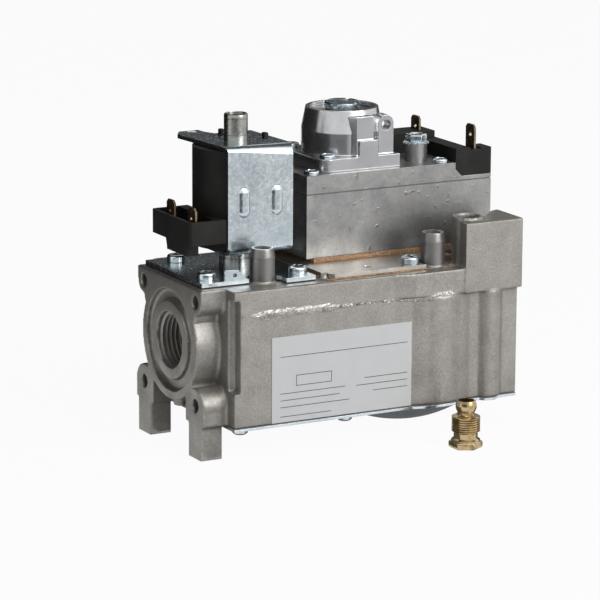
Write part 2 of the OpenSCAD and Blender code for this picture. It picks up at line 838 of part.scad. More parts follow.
module fixed_core() color(metal) {
    difference() {
        post([solenoid_x, 0], core_low, tube_top - core_set, tube_in);
        post([solenoid_x, 0], tube_top - 3 * core_set, tube_top, tube_in / 2);
    }
}

module safety_plunger() color(dark_metal) {
    post([solenoid_x, 0], plunger_low, plunger_top, plunger_r);
    post([solenoid_x, 0], safety_disc_top - safety_socket, plunger_low + over, safety_pin_r);
}

module safety_disc() color(rubber) {
    difference() {
        post([solenoid_x, 0], safety_seat_z, safety_disc_top, safety_disc_r);
        post([solenoid_x, 0], safety_disc_top - safety_socket, safety_disc_top + over, safety_pin_r);
    }
}

module safety_spring() color(zinc) {
    coil_spring([solenoid_x, 0], safety_disc_top, tube_low, 6.2, 1, 8);
}

module yoke_top_outline() {
    ear_x = yoke_x0 - 3.2;
    end = yoke_back + 9.2;
    polygon([[yoke_x0, -yoke_front], [yoke_x1, -yoke_front], [yoke_x1 - 1.5, yoke_back],
        [yoke_x0 + 10, yoke_back], [yoke_x0 + 8, yoke_back + 5], [yoke_x0 + 7.8, end], [ear_x + 3, end],
        [ear_x, yoke_back + 4.2], [ear_x, yoke_back + 3]]);
}

module solenoid_yoke() color(zinc) {
    slot_z = yoke_low + yoke_h * 0.49;
    slot_r = 2.05;
    slot_half = 3.4;
    slot_apart = 6.7;
    ear_hole = [yoke_x0 + 3.9, yoke_back + 6.6];
    lower_back = yoke_back - 9;
    difference() {
        union() {
            slab_z(yoke_top - yoke_t, yoke_top) yoke_top_outline();
            box([yoke_x0, -yoke_front, yoke_low], [yoke_x1, -yoke_front + yoke_t, yoke_top]);
            box([yoke_x0, -yoke_front, yoke_low], [yoke_x1, lower_back, yoke_low + yoke_t]);
        }
        post([solenoid_x, 0], yoke_low - over, yoke_top + over, tube_r + hole_gap);
        post(ear_hole, yoke_low, yoke_top + over, 1.9);
        for (side = [-1, 1]) translate([(yoke_x0 + yoke_x1) / 2 + side * slot_apart, 0, slot_z]) {
            for (end = [-1, 1])
                along_y(0, -yoke_front - over, -yoke_front + yoke_t / 2, end * slot_half, slot_r);
            box([-slot_r, -yoke_front - over, -slot_half], [slot_r, -yoke_front + yoke_t / 2, slot_half]);
        }
    }
}

module coil_moulding() color(black) {
    reach = -yoke_front + yoke_t + coil_gap;
    side = yoke_x0 - coil_gap;
    step_y = shroud_y0 + 19.8;
    step_h = 4;
    step_w = 4.8;
    step_set = 2.5;
    difference() {
        union() {
            intersection() {
                post([solenoid_x, 0], coil_low, coil_top, coil_r);
                box([0, reach, 0], [2 * solenoid_x, yoke_front, yoke_top]);
            }
            box([shroud_x0, shroud_y0, shroud_low], [side, shroud_y0 + shroud_w, shroud_top]);
            box([shroud_x0, shroud_y0 + step_set, shroud_low - step_h],
                [shroud_x0 + step_w, step_y, shroud_low + over]);
        }
        box([shroud_x0 + shroud_wall, shroud_y0 + shroud_wall, shroud_floor],
            [solenoid_x - coil_r + room, shroud_y0 + shroud_w - shroud_wall, shroud_top + over]);
        post([solenoid_x, 0], shroud_low - step_h - over, coil_top + over, coil_bore);
        pipe([solenoid_x, 0], coil_low + bobbin_end, coil_top - bobbin_end, winding_out, winding_in);
    }
}

module coil_winding() color(copper) {
    pipe([solenoid_x, 0], coil_low + bobbin_end, coil_top - bobbin_end,
        winding_out - hole_gap, winding_in + hole_gap);
}

module coil_tabs() color(brass) {
    for (y = tab_y) spade_tab(tab_x, y, shroud_floor);
}

// Separator stack
module stack_outline(front_y, x0, x1) {
    c = tongue_chamfer;
    polygon([[x0, -servo_front + 1], [x0, front_y + c[1]], [x0 + c[0], front_y], [tongue_x1, front_y],
        [tongue_x1, ear_y], [ear_x1, ear_y], [ear_x1, ledge_y], [x1, ledge_y],
        [x1, servo_back - 1], [x0, servo_back - 1]]);
}

module stack_holes() {
    for (at = separator_screw_places) translate(at) circle(m4_r + hole_gap);
    translate(peg) circle(peg_r + room);
    translate(nipple_2) circle(nipple_r + nipple_room);
}

module separator_gasket_lower() color(cork) {
    slab_z(cork_z, separator_low) difference() {
        stack_outline(tongue_front - cork_proud, separator_x0 - cork_proud, stack_x1);
        stack_holes();
    }
}

module separator_plate() color(zinc) {
    slab_z(separator_low, separator_top) difference() {
        stack_outline(tongue_front, separator_x0, stack_x1);
        stack_holes();
        translate([vent[0], vent[1]]) circle(vent[2]);
    }
}

module separator_gasket_upper() color(cork) {
    slab_z(separator_top, servo_low)
        rect(servo_x + cork_in, -servo_front - cork_front, stack_x1 - cork_in, servo_back - 1);
}

module separator_screws() color(zinc) {
    for (at = separator_screw_places)
        pan_screw(at, separator_top, m4_head_r, m4_head_h, m4_r, deck_screw_l + over);
}

// Upper block
module servo_caves(z0, z1) {
    y0 = -servo_front + servo_wall;
    y1 = servo_back - servo_wall;
    box([servo_x + servo_wall, y0, z0], [cave_split - cave_rib / 2, y1, z1]);
    box([cave_split + cave_rib / 2, y0, z0], [servo_x1 - servo_end_wall, y1, z1]);
}

module servo_housing() color(dark_metal) {
    difference() {
        box([servo_x, -servo_front, servo_low], [servo_x1, servo_back, seam_z]);
        servo_caves(servo_floor, seam_z + over);
        for (at = cover_screws) post(at, seam_z - cover_screw_l, seam_z + over, m3_r + hole_gap);
    }
    pipe([turret_x, turret_y], servo_floor - over, nozzle_top, nozzle_r, drill_r);
}

module servo_gasket() color(rubber) {
    difference() {
        box([servo_x + seam_in, -servo_front + seam_in, seam_z],
            [servo_x1 - seam_in, servo_back - seam_in, cover_low]);
        servo_caves(seam_z - over, cover_low + over);
        for (at = cover_screws) post(at, seam_z - over, cover_low + over, m3_r + hole_gap);
    }
}

module servo_cover() color(dark_metal) {
    difference() {
        union() {
            box([servo_x, -servo_front, cover_low], [servo_x1, servo_back, cover_top]);
            post([earth_x, earth_y], cover_top - over, cover_top + earth_boss_h, earth_boss_r);
        }
        terminal_seat();
        post([turret_x, turret_y], cover_low - over, cover_top + over, stem_r + 2);
        post([turret_x, turret_y], cover_top - dish_h, cover_top + over, spring_cavity_r);
        post([earth_x, earth_y], cover_low + 1, cover_top + earth_boss_h + over, m4_r + hole_gap);
        for (at = cover_screws) post(at, cover_low - over, cover_top + over, m3_r + hole_gap);
        for (at = regulator_screw_places) post(at, cover_low + 1, cover_top + over, m3_r + hole_gap);
    }
}

// The stepped end of the cover where the terminal block sits
module terminal_seat() {
    translate([0, servo_back + over, 0]) rotate([90, 0, 0]) linear_extrude(servo_d + 2 * over)
        polygon([[notch_x, cover_top + over], [notch_x, notch_low + seat_cut],
            [notch_x + seat_cut, notch_low], [servo_x1 + over, notch_low],
            [servo_x1 + over, cover_top + over]]);
}

module servo_cover_screws() color(zinc) {
    for (at = cover_screws)
        pan_screw(at, cover_top, m3_head_r, m3_head_h, m3_r, cover_t + cover_screw_l - over);
}

module earth_screw() color(zinc) {
    z = cover_top + earth_boss_h;
    hex_h = 2.6;
    post([earth_x, earth_y], z, z + earth_washer, earth_boss_r + earth_washer);
    translate([earth_x, earth_y, z + earth_washer]) cylinder(h = hex_h, r = earth_boss_r, $fn = 6);
    post([earth_x, earth_y], z - 2 * earth_boss_r, z, m4_r);
}

module servo_coil() color(copper) {
    pipe(servo_axis, servo_floor, servo_coil_top, servo_coil_r, servo_tube_r);
}

module servo_core() color(metal) {
    post(servo_axis, servo_core_low, servo_coil_top, servo_tube_r);
}

module servo_plunger() color(dark_metal) {
    difference() {
        post(servo_axis, servo_plunger_low, servo_plunger_low + servo_plunger_h, servo_plunger_r);
        post(servo_axis, servo_pocket, servo_plunger_low + servo_plunger_h + over, 3);
    }
}

module servo_spring() color(zinc) {
    coil_spring(servo_axis, servo_pocket, servo_core_low, 2.3, 0.6, 4);
}

module terminal_block() color(black) {
    y0 = -servo_front;
    difference() {
        union() {
            translate([0, servo_back, 0]) rotate([90, 0, 0]) linear_extrude(servo_d)
                polygon([[notch_x, terminal_top], [notch_x, notch_low + seat_cut],
                    [notch_x + seat_cut, notch_low], [servo_x1, notch_low], [servo_x1, terminal_foot],
                    [terminal_bar, terminal_foot], [terminal_bar, terminal_top]]);
            box([terminal_bar - over, y0, terminal_foot - over],
                [servo_x1, terminal_front_y, terminal_front]);
            box([terminal_corner[0], y0, terminal_front - over],
                [servo_x1, terminal_front_y, terminal_front + terminal_corner[1]]);
            box([terminal_arm_x, terminal_back_y[0], cover_top],
                [terminal_bar, terminal_back_y[1], terminal_back_top]);
        }
        for (tab = terminal_tabs)
            box([tab[0] - tab_t / 2 - hole_gap, tab[1] - tab_w / 2 - hole_gap, tab[2]],
                [tab[0] + tab_t / 2 + hole_gap, tab[1] + tab_w / 2 + hole_gap, terminal_back_top + over]);
    }
}

module terminal_block_tabs() color(brass) {
    for (tab = terminal_tabs) spade_tab(tab[0], tab[1], tab[2]);
}

// Regulator turret
module turret_solid() {
    mid = (base_top + rim_top) / 2;
    at = [turret_x, turret_y];
    slab_z(cover_top, base_top) {
        rect(base_x0 + base_corner, base_y0, base_x1, base_y1);
        rect(base_x0, base_y0 + base_corner, base_x1, base_y1);
        translate([base_x0 + base_corner, base_y0 + base_corner]) circle(base_corner);
    }
    post(at, cover_top, mid, turret_r);
    translate([turret_x, turret_y, mid]) cylinder(h = rim_top - mid, r1 = turret_r, r2 = turret_top_r);
    box([clamp_x + clamp_step[0], base_y0, base_top - over],
        [clamp_x + clamp_w + 2 * clamp_step[0], turret_y, base_top + clamp_step[2]]);
    y = base_y0 + clamp_step[1];
    slab_z(base_top - over, clamp_top)
        polygon([[clamp_x - clamp_slope[0], y + clamp_slope[1]], [clamp_x, y], [clamp_x + clamp_w, y],
            [clamp_x + clamp_w, turret_y], [clamp_x - clamp_slope[0], turret_y]]);
    seal_lug();
}

// The lug with the sealing hole, round at the top
module seal_lug() {
    y0 = base_y0 + lug_set;
    box([lug_x - lug_half, y0, base_top - over], [lug_x + lug_half, y0 + lug_t, lug_top - lug_half]);
    along_y(lug_x, y0, y0 + lug_t, lug_top - lug_half, lug_half);
}

module regulator_housing() color(dark_metal) {
    at = [turret_x, turret_y];
    difference() {
        turret_solid();
        post(at, cover_top - over, cover_top + regulator_t, regulator_rim_r + hole_gap);
        post(at, cover_top, bore_low, spring_cavity_r);
        post(at, bore_low - over, rim_top, adjust_r + hole_gap);
        post(at, cap_floor, rim_top + over, turret_top_r - turret_rim);
        along_y(lug_x, base_y0 - over, base_y0 + lug_set + lug_t + 2, lug_hole_z, lug_hole_r);
        for (p = regulator_screw_places) post(p, cover_top - over, base_top + over, m3_r + hole_gap);
    }
}

module regulator_screws() color(zinc) {
    for (p = regulator_screw_places)
        pan_screw(p, base_top, m3_head_r, m3_head_h, m3_r, turret_base_t + cover_t - 2 * over);
}

module regulator_diaphragm() color(rubber) {
    pipe([turret_x, turret_y], cover_top, cover_top + regulator_t, regulator_rim_r, stem_r + hole_gap);
}

module regulator_stem() color(metal) {
    post([turret_x, turret_y], stem_plate_low, stem_plate_top, stem_plate_r);
    post([turret_x, turret_y], nozzle_top + stem_lift + seat_gap, stem_plate_low + over, stem_r);
}

module regulator_spring() color(zinc) {
    coil_spring([turret_x, turret_y], stem_plate_top, seat_low, 7, 0.9, 3);
}

module spring_seat() color(metal) {
    post([turret_x, turret_y], seat_low, seat_top, seat_r);
}

module adjusting_screw() color(brass) {
    slot = [adjust_r * 1.4, 1.2, 2];
    difference() {
        post([turret_x, turret_y], seat_top, screw_top, adjust_r);
        translate([turret_x, turret_y, screw_top]) cube(slot, center = true);
    }
}

module cap_seal() color(rubber) {
    pipe([turret_x, turret_y], cap_floor, cap_low, cap_r - cap_edge / 2, adjust_r + hole_gap);
}

module cap_screw() color(zinc) {
    at = [turret_x, turret_y];
    top = cap_floor + cap_h;
    slot = [1.8, 3.4];
    slot_turn = 39;
    difference() {
        union() {
            post(at, cap_low, top - cap_edge, cap_r);
            translate([turret_x, turret_y, top - cap_edge])
                cylinder(h = cap_edge, r1 = cap_r, r2 = cap_r - cap_edge);
            post(at, cap_floor - cap_shank, cap_low, adjust_r);
        }
        for (turn = [0, 90]) translate([turret_x, turret_y, top]) rotate(turn + slot_turn)
            cube([2 * cap_r + over, slot[0], slot[1]], center = true);
    }
}

// Sealing screws in the test nipples
module test_screw(at) {
    top = nipple_top - 1.6;
    low = nipple_top - nipple_bore + seat_gap;
    slot = [2 * nipple_bore_r, 0.9, 2];
    difference() {
        post(at, low, top, nipple_bore_r - run_gap);
        translate([at[0], at[1], top]) cube(slot, center = true);
    }
}

module inlet_test_screw() color(zinc) {
    test_screw(nipple_1);
}

module outlet_test_screw() color(zinc) {
    test_screw(nipple_2);
}

// Pilot fitting
module pilot_nut() color(brass) {
    at = [fitting_x, fitting_y];
    head_top = floor_z + fitting_head_h;
    neck_top = head_top + fitting_neck_l;
    thread_top = neck_top + fitting_thread_l;
    difference() {
        union() {
            translate([fitting_x, fitting_y, floor_z])
                cylinder(h = fitting_head_h, r = fitting_af / 2 / cos(30), $fn = 6);
            post(at, head_top - over, neck_top, fitting_neck_r);
            post(at, neck_top, thread_top, fitting_thread_r);
            post(at, thread_top - over, thread_top + fitting_tip_l, fitting_tip_r);
        }
        post(at, floor_z - over, thread_top + fitting_tip_l + over, fitting_bore_r);
    }
}

module pilot_olive() color(brass) {
    low = floor_z + fitting_head_h + fitting_neck_l + fitting_thread_l + fitting_tip_l;
    translate([fitting_x, fitting_y, low]) difference() {
        union() {
            cylinder(h = olive_cone, r1 = fitting_tip_r, r2 = olive_r);
            translate([0, 0, olive_cone]) cylinder(h = olive_h - 2 * olive_cone, r = olive_r);
            translate([0, 0, olive_h - olive_cone])
                cylinder(h = olive_cone, r1 = olive_r, r2 = olive_hole_r + olive_lip);
        }
        translate([0, 0, olive_cone]) cylinder(h = olive_h, r = olive_hole_r);
        translate([0, 0, -over]) cylinder(h = olive_h, r = fitting_bore_r);
    }
}

main_body();
rating_label();
bottom_plate();
bottom_gasket();
bottom_plate_screws();
main_diaphragm();
main_stem();
main_disc();
main_spring();
inlet_strainer();
operator_plate();
operator_gasket();
operator_screws();
guide_tube();
fixed_core();
solenoid_yoke();
coil_moulding();
coil_winding();
coil_tabs();
safety_plunger();
safety_disc();
safety_spring();
separator_plate();
separator_gasket_lower();
separator_gasket_upper();
separator_screws();
servo_housing();
servo_gasket();
servo_cover();
servo_cover_screws();
earth_screw();
servo_coil();
servo_core();
servo_plunger();
servo_spring();
terminal_block();
terminal_block_tabs();
regulator_housing();
regulator_screws();
regulator_diaphragm();
regulator_stem();
regulator_spring();
spring_seat();
adjusting_screw();
cap_seal();
cap_screw();
inlet_test_screw();
outlet_test_screw();
pilot_nut();
pilot_olive();
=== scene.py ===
"""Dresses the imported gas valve: cast, plated, moulded and stamped pieces around its CAD frame."""
import json
from math import atan2, cos, degrees, exp, hypot, pi, radians, sin, sqrt

import bpy
from bpy.props import FloatProperty, IntProperty, PointerProperty, StringProperty
from bpy.types import NodeSocket, Operator, Panel, PropertyGroup, Scene
from mathutils import Matrix, Vector


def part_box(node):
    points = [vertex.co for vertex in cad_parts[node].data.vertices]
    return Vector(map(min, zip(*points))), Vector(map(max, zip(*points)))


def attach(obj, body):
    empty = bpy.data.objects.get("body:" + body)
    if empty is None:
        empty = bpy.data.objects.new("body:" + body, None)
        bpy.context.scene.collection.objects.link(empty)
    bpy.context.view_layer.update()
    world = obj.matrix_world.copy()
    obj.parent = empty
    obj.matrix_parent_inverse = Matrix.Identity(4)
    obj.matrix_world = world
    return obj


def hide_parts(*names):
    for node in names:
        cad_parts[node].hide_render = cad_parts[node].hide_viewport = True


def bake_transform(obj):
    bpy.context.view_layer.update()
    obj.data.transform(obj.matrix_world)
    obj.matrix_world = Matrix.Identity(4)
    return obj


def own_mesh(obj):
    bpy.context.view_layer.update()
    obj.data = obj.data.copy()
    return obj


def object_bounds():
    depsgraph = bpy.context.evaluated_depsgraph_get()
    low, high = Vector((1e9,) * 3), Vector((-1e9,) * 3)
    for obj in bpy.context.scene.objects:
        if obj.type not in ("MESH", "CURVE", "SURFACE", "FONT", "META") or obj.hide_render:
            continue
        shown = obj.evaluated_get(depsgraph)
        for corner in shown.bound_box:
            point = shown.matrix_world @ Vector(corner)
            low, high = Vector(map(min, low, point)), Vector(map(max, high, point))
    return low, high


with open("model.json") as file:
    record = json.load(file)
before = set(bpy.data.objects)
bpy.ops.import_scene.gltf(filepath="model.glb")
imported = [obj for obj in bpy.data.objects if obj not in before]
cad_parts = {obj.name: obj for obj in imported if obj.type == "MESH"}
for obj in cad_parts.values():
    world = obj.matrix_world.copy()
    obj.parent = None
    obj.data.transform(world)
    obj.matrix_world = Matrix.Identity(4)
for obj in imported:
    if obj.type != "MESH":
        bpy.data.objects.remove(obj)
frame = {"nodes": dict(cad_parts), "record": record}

bl_info = {
    "name": "Gas valve dresser",
    "version": (1, 0, 0),
    "blender": (4, 5, 0),
    "location": "3D View > Sidebar > Gas valve",
    "description": "Dresses the packed gas valve and sets its studio",
    "category": "Object",
}

CAD_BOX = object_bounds()
MM = 0.001
WELD = 0.005 * MM
SMOOTH_ANGLE = radians(32)
FLAT_ANGLE = radians(0.6)
# A mesh with more faces than this keeps its plain smooth shading.
FINE_MESH = 20000
# At one scale, a wave texture's lines are this many times finer than a noise texture's features.
WAVE = 2 * pi
# How a Mix node blends two colours, and how it tints one by another.
BLEND = {"data_type": "RGBA"}
TINT = {"data_type": "RGBA", "blend_type": "MULTIPLY"}
# The body's front wall, behind the label, and its deck, under the operator's gasket, in millimetres.
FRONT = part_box("rating_label")[1].y / MM
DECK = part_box("operator_gasket")[0].z / MM
RECORD = frame["record"]
BODY_OF = {node: body for body, nodes in RECORD["behaviour"]["bodies"].items() for node in nodes}
SLOT_OF = {row["node"]: row["material_slot"] for row in RECORD["subparts"]}
FINISH_OF = {
    "die_cast_aluminium": "satin_cast_aluminium", "upper_aluminium": "upper_casting_aluminium",
    "zinc_plated_steel": "bright_zinc_plate", "nickel_plated_steel": "satin_nickel_plate",
    "plain_steel": "turned_steel", "spring_steel": "drawn_spring_wire", "brass": "turned_brass",
    "black_moulding": "glass_filled_nylon", "enamelled_copper": "varnished_copper_wire",
    "cork_sheet": "bonded_cork", "black_rubber": "nitrile_rubber", "label_film": "printed_polyester",
}


def linear(colour):
    """An sRGB hex colour as linear red, green, blue and alpha."""
    parts = [int(colour[k:k + 2], 16) / 255 for k in (1, 3, 5)]
    return [p / 12.92 if p <= 0.04045 else ((p + 0.055) / 1.055) ** 2.4 for p in parts] + [1.0]


def add(tree, kind, inputs=None, **settings):
    """Adds a shader node with its settings, links or sets its inputs, a hex colour made linear, and gives
    its outputs."""
    made = tree.nodes.new("ShaderNode" + kind)
    for name, value in settings.items():
        setattr(made, name, value)
    for socket, value in (inputs or {}).items():
        if isinstance(value, NodeSocket):
            tree.links.new(value, made.inputs[socket])
        else:
            made.inputs[socket].default_value = linear(value) if isinstance(value, str) else value
    return made.outputs


def bare_tree(owner):
    """The emptied node tree of a new material or world."""
    owner.use_nodes = True
    owner.node_tree.nodes.clear()
    return owner.node_tree


def begin(name):
    """The empty tree of a new material and the Object coordinates that its patterns read."""
    tree = bare_tree(bpy.data.materials.new(name))
    return tree, add(tree, "TexCoord")["Object"]


def per_mm(size):
    """The texture scale at which one feature is that many millimetres wide."""
    return 1 / (size * MM)


def cast_aluminium(name, light, dark, roughness, metallic, cloud_mm, grain_mm, grain_tone,
                   dent=0.4, fleck=0.06):
    """Die-cast aluminium: a satin grey, cloudy from the die's flow, with a shot-blasted grain, drawn
    coarser than the real one so that it shows, and small dull nicks."""
    tree, place = begin(name)
    cloud = add(tree, "TexNoise", {
        "Vector": place, "Scale": per_mm(cloud_mm), "Detail": 6.0, "Roughness": 0.6})
    grain = add(tree, "TexNoise", {
        "Vector": place, "Scale": per_mm(grain_mm), "Detail": 4.0, "Roughness": 0.7})
    nicks = add(tree, "TexNoise", {"Vector": place, "Scale": per_mm(2.6), "Detail": 2.0})
    share = add(tree, "MapRange", {"Value": cloud[0], "From Min": 0.32, "From Max": 0.68})
    clouded = add(tree, "Mix", {0: share[0], 6: dark, 7: light}, **BLEND)
    speck = add(tree, "MapRange", {
        "Value": grain[0], "From Min": 0.3, "From Max": 0.7, "To Min": 1 - grain_tone,
        "To Max": 1 + grain_tone})
    grained = add(tree, "Mix", {0: 1.0, 6: clouded[2], 7: speck[0]}, **TINT)
    pits = add(tree, "MapRange", {"Value": nicks[0], "From Min": 0.63, "From Max": 0.74})
    worn = add(tree, "MapRange", {"Value": pits[0], "To Min": 1.0, "To Max": 1 - fleck})
    nicked = add(tree, "Mix", {0: 1.0, 6: grained[2], 7: worn[0]}, **TINT)
    gloss = add(tree, "MapRange", {
        "Value": cloud[0], "From Min": 0.3, "From Max": 0.7, "To Min": roughness + 0.08,
        "To Max": roughness - 0.06})
    bump = add(tree, "Bump", {"Height": grain[0], "Strength": 0.4, "Distance": 0.06 * MM})
    dents = add(tree, "Bump", {
        "Height": pits[0], "Strength": dent, "Distance": 0.12 * MM, "Normal": bump[0]})
    shader = add(tree, "BsdfPrincipled", {
        "Base Color": nicked[2], "Metallic": metallic, "Roughness": gloss[0], "Normal": dents[0]})
    add(tree, "OutputMaterial", {"Surface": shader[0]})


def plated_steel(name, light, dark, roughness, cloud_mm=16, spangle_tone=0.93, uneven=0.12):
    """Plated, turned or drawn steel: a bright metal, hazy in patches, with a faint spangle, drawn coarser
    than the real one so that it shows, and handling marks."""
    tree, place = begin(name)
    cloud = add(tree, "TexNoise", {"Vector": place, "Scale": per_mm(cloud_mm), "Detail": 4.0})
    spangle = add(tree, "TexVoronoi", {"Vector": place, "Scale": per_mm(0.8)})
    marks = add(tree, "TexNoise", {"Vector": place, "Scale": per_mm(1.2), "Detail": 5.0})
    share = add(tree, "MapRange", {"Value": cloud[0], "From Min": 0.35, "From Max": 0.65})
    clouded = add(tree, "Mix", {0: share[0], 6: dark, 7: light}, **BLEND)
    facet = add(tree, "MapRange", {"Value": spangle["Color"], "To Min": spangle_tone, "To Max": 1.03})
    toned = add(tree, "Mix", {0: 1.0, 6: clouded[2], 7: facet[0]}, **TINT)
    gloss = add(tree, "MapRange", {
        "Value": marks[0], "From Min": 0.3, "From Max": 0.7, "To Min": roughness - 0.04,
        "To Max": roughness + 0.08})
    bump = add(tree, "Bump", {"Height": cloud[0], "Strength": uneven, "Distance": 0.3 * MM})
    shader = add(tree, "BsdfPrincipled", {
        "Base Color": toned[2], "Metallic": 1.0, "Roughness": gloss[0], "Normal": bump[0]})
    add(tree, "OutputMaterial", {"Surface": shader[0]})


def moulded_plastic(name, colour, worn):
    """Glass-filled moulded plastic: matt black, grey where it is rubbed, with a dry grain, drawn coarser
    than the real one so that it shows."""
    tree, place = begin(name)
    grain = add(tree, "TexNoise", {"Vector": place, "Scale": per_mm(0.6), "Detail": 4.0})
    cloud = add(tree, "TexNoise", {"Vector": place, "Scale": per_mm(9), "Detail": 3.0})
    share = add(tree, "MapRange", {"Value": cloud[0], "From Min": 0.4, "From Max": 0.75})
    rubbed = add(tree, "Mix", {0: share[0], 6: colour, 7: worn}, **BLEND)
    gloss = add(tree, "MapRange", {"Value": grain[0], "To Min": 0.42, "To Max": 0.66})
    bump = add(tree, "Bump", {"Height": grain[0], "Strength": 0.3, "Distance": 0.05 * MM})
    shader = add(tree, "BsdfPrincipled", {
        "Base Color": rubbed[2], "Roughness": gloss[0], "Specular IOR Level": 0.2, "Normal": bump[0]})
    add(tree, "OutputMaterial", {"Surface": shader[0]})


def tarnished_brass(name, light, dark, roughness):
    """Brass: a warm yellow metal with a brown tarnish in patches and fine turning lines."""
    tree, place = begin(name)
    cloud = add(tree, "TexNoise", {"Vector": place, "Scale": per_mm(3), "Detail": 4.0})
    share = add(tree, "MapRange", {"Value": cloud[0], "From Min": 0.42, "From Max": 0.72})
    browned = add(tree, "Mix", {0: share[0], 6: light, 7: dark}, **BLEND)
    gloss = add(tree, "MapRange", {
        "Value": cloud[0], "To Min": roughness - 0.05, "To Max": roughness + 0.12})
    lines = add(tree, "TexWave", {
        "Vector": place, "Scale": per_mm(0.25) / WAVE, "Distortion": 1.5}, bands_direction="Z")
    bump = add(tree, "Bump", {"Height": lines[0], "Strength": 0.15, "Distance": 0.03 * MM})
    shader = add(tree, "BsdfPrincipled", {
        "Base Color": browned[2], "Metallic": 1.0, "Roughness": gloss[0], "Normal": bump[0]})
    add(tree, "OutputMaterial", {"Surface": shader[0]})


def cork_sheet(name, light, dark):
    """Bonded cork: orange-brown granules about 1 mm across with dark binder between them, quite dull."""
    tree, place = begin(name)
    granules = add(tree, "TexVoronoi", {"Vector": place, "Scale": per_mm(0.9)})
    tone = add(tree, "TexNoise", {"Vector": place, "Scale": per_mm(0.8), "Detail": 3.0})
    share = add(tree, "MapRange", {"Value": tone[0], "From Min": 0.3, "From Max": 0.65})
    mottled = add(tree, "Mix", {0: share[0], 6: dark, 7: light}, **BLEND)
    binder = add(tree, "MapRange", {"Value": granules[0], "From Max": 0.7, "To Min": 1.0, "To Max": 0.6})
    toned = add(tree, "Mix", {0: 1.0, 6: mottled[2], 7: binder[0]}, **TINT)
    bump = add(tree, "Bump", {"Height": granules[0], "Strength": 0.5, "Distance": 0.15 * MM})
    shader = add(tree, "BsdfPrincipled", {"Base Color": toned[2], "Roughness": 0.85, "Normal": bump[0]})
    add(tree, "OutputMaterial", {"Surface": shader[0]})


def label_film(name, colour, roughness):
    """Printed polyester film: a pale satin skin with a faint unevenness of the glue under it."""
    tree, place = begin(name)
    glue = add(tree, "TexNoise", {"Vector": place, "Scale": per_mm(6), "Detail": 2.0})
    shade = add(tree, "MapRange", {"Value": glue[0], "To Min": 0.95, "To Max": 1.03})
    toned = add(tree, "Mix", {0: 1.0, 6: colour, 7: shade[0]}, **TINT)
    bump = add(tree, "Bump", {"Height": glue[0], "Strength": 0.08, "Distance": 0.2 * MM})
    shader = add(tree, "BsdfPrincipled", {
        "Base Color": toned[2], "Roughness": roughness, "Normal": bump[0]})
    add(tree, "OutputMaterial", {"Surface": shader[0]})


def sheet_rubber(name, colour, bloomed):
    """Sheet gasket, rubber or pressed fibre: quite dull, with a dusty bloom."""
    tree, place = begin(name)
    bloom = add(tree, "TexNoise", {"Vector": place, "Scale": per_mm(2), "Detail": 4.0})
    dusty = add(tree, "Mix", {0: bloom[0], 6: colour, 7: bloomed}, **BLEND)
    shader = add(tree, "BsdfPrincipled", {"Base Color": dusty[2], "Roughness": 0.7})
    add(tree, "OutputMaterial", {"Surface": shader[0]})


def wound_copper(name, light, dark):
    """Enamelled copper wire: reddish bands, one for each turn of wire, under a clear varnish."""
    tree, place = begin(name)
    turns = add(tree, "TexWave", {"Vector": place, "Scale": per_mm(0.6) / WAVE}, bands_direction="Z")
    banded = add(tree, "Mix", {0: turns[0], 6: dark, 7: light}, **BLEND)
    bump = add(tree, "Bump", {"Height": turns[0], "Strength": 0.5, "Distance": 0.1 * MM})
    shader = add(tree, "BsdfPrincipled", {
        "Base Color": banded[2], "Metallic": 1.0, "Roughness": 0.35, "Normal": bump[0]})
    add(tree, "OutputMaterial", {"Surface": shader[0]})


def leave():
    """Leaves edit mode."""
    bpy.ops.object.mode_set(mode="OBJECT")


def deselect():
    """Leaves nothing selected, in object mode."""
    if bpy.context.object and bpy.context.object.mode != "OBJECT":
        leave()
    bpy.ops.object.select_all(action="DESELECT")


def take_up(piece):
    """Makes a piece the only one selected, and active."""
    deselect()
    piece.select_set(True)
    bpy.context.view_layer.objects.active = piece


def open_whole(piece):
    """Opens a piece in edit mode with all of it selected."""
    take_up(piece)
    bpy.ops.object.mode_set(mode="EDIT")
    bpy.ops.mesh.select_all(action="SELECT")


def pick(piece, kind, test):
    """Opens a piece in edit mode with only those vertices or edges selected that pass a test."""
    take_up(piece)
    bpy.ops.object.mode_set(mode="EDIT")
    bpy.ops.mesh.select_mode(type=kind)
    bpy.ops.mesh.select_all(action="DESELECT")
    leave()
    mesh = piece.data
    if kind == "VERT":
        for vertex in mesh.vertices:
            vertex.select = test(vertex.co / MM)
    else:
        for edge in mesh.edges:
            a, b = (mesh.vertices[k].co / MM for k in edge.vertices)
            edge.select = test((a + b) / 2, (b - a).normalized())
    bpy.ops.object.mode_set(mode="EDIT")


def merged_copy(node, name):
    """A copy of a CAD node's mesh with its loose triangles joined into faces."""
    piece = bpy.data.objects.new(name, frame["nodes"][node].data.copy())
    bpy.context.scene.collection.objects.link(piece)
    open_whole(piece)
    bpy.ops.mesh.customdata_custom_splitnormals_clear()
    bpy.ops.mesh.remove_doubles(threshold=WELD)
    bpy.ops.mesh.dissolve_limited(angle_limit=FLAT_ANGLE)
    leave()
    return piece


def close_up(piece):
    """Welds a piece's seams, fills its open ends and turns its faces outwards."""
    open_whole(piece)
    bpy.ops.mesh.remove_doubles(threshold=WELD)
    bpy.ops.mesh.fill_holes(sides=0)
    bpy.ops.mesh.normals_make_consistent(inside=False)
    leave()


def settled(name):
    """The active object, named, with its place, turn and size put into its mesh."""
    bpy.ops.object.transform_apply()
    bpy.context.object.name = name
    return bpy.context.object


def apply_modifier(piece, kind, **settings):
    """Adds a modifier to a piece with its settings and applies it."""
    take_up(piece)
    modifier = piece.modifiers.new(kind.lower(), kind)
    for name, value in settings.items():
        setattr(modifier, name, value)
    bpy.ops.object.modifier_apply(modifier=modifier.name)


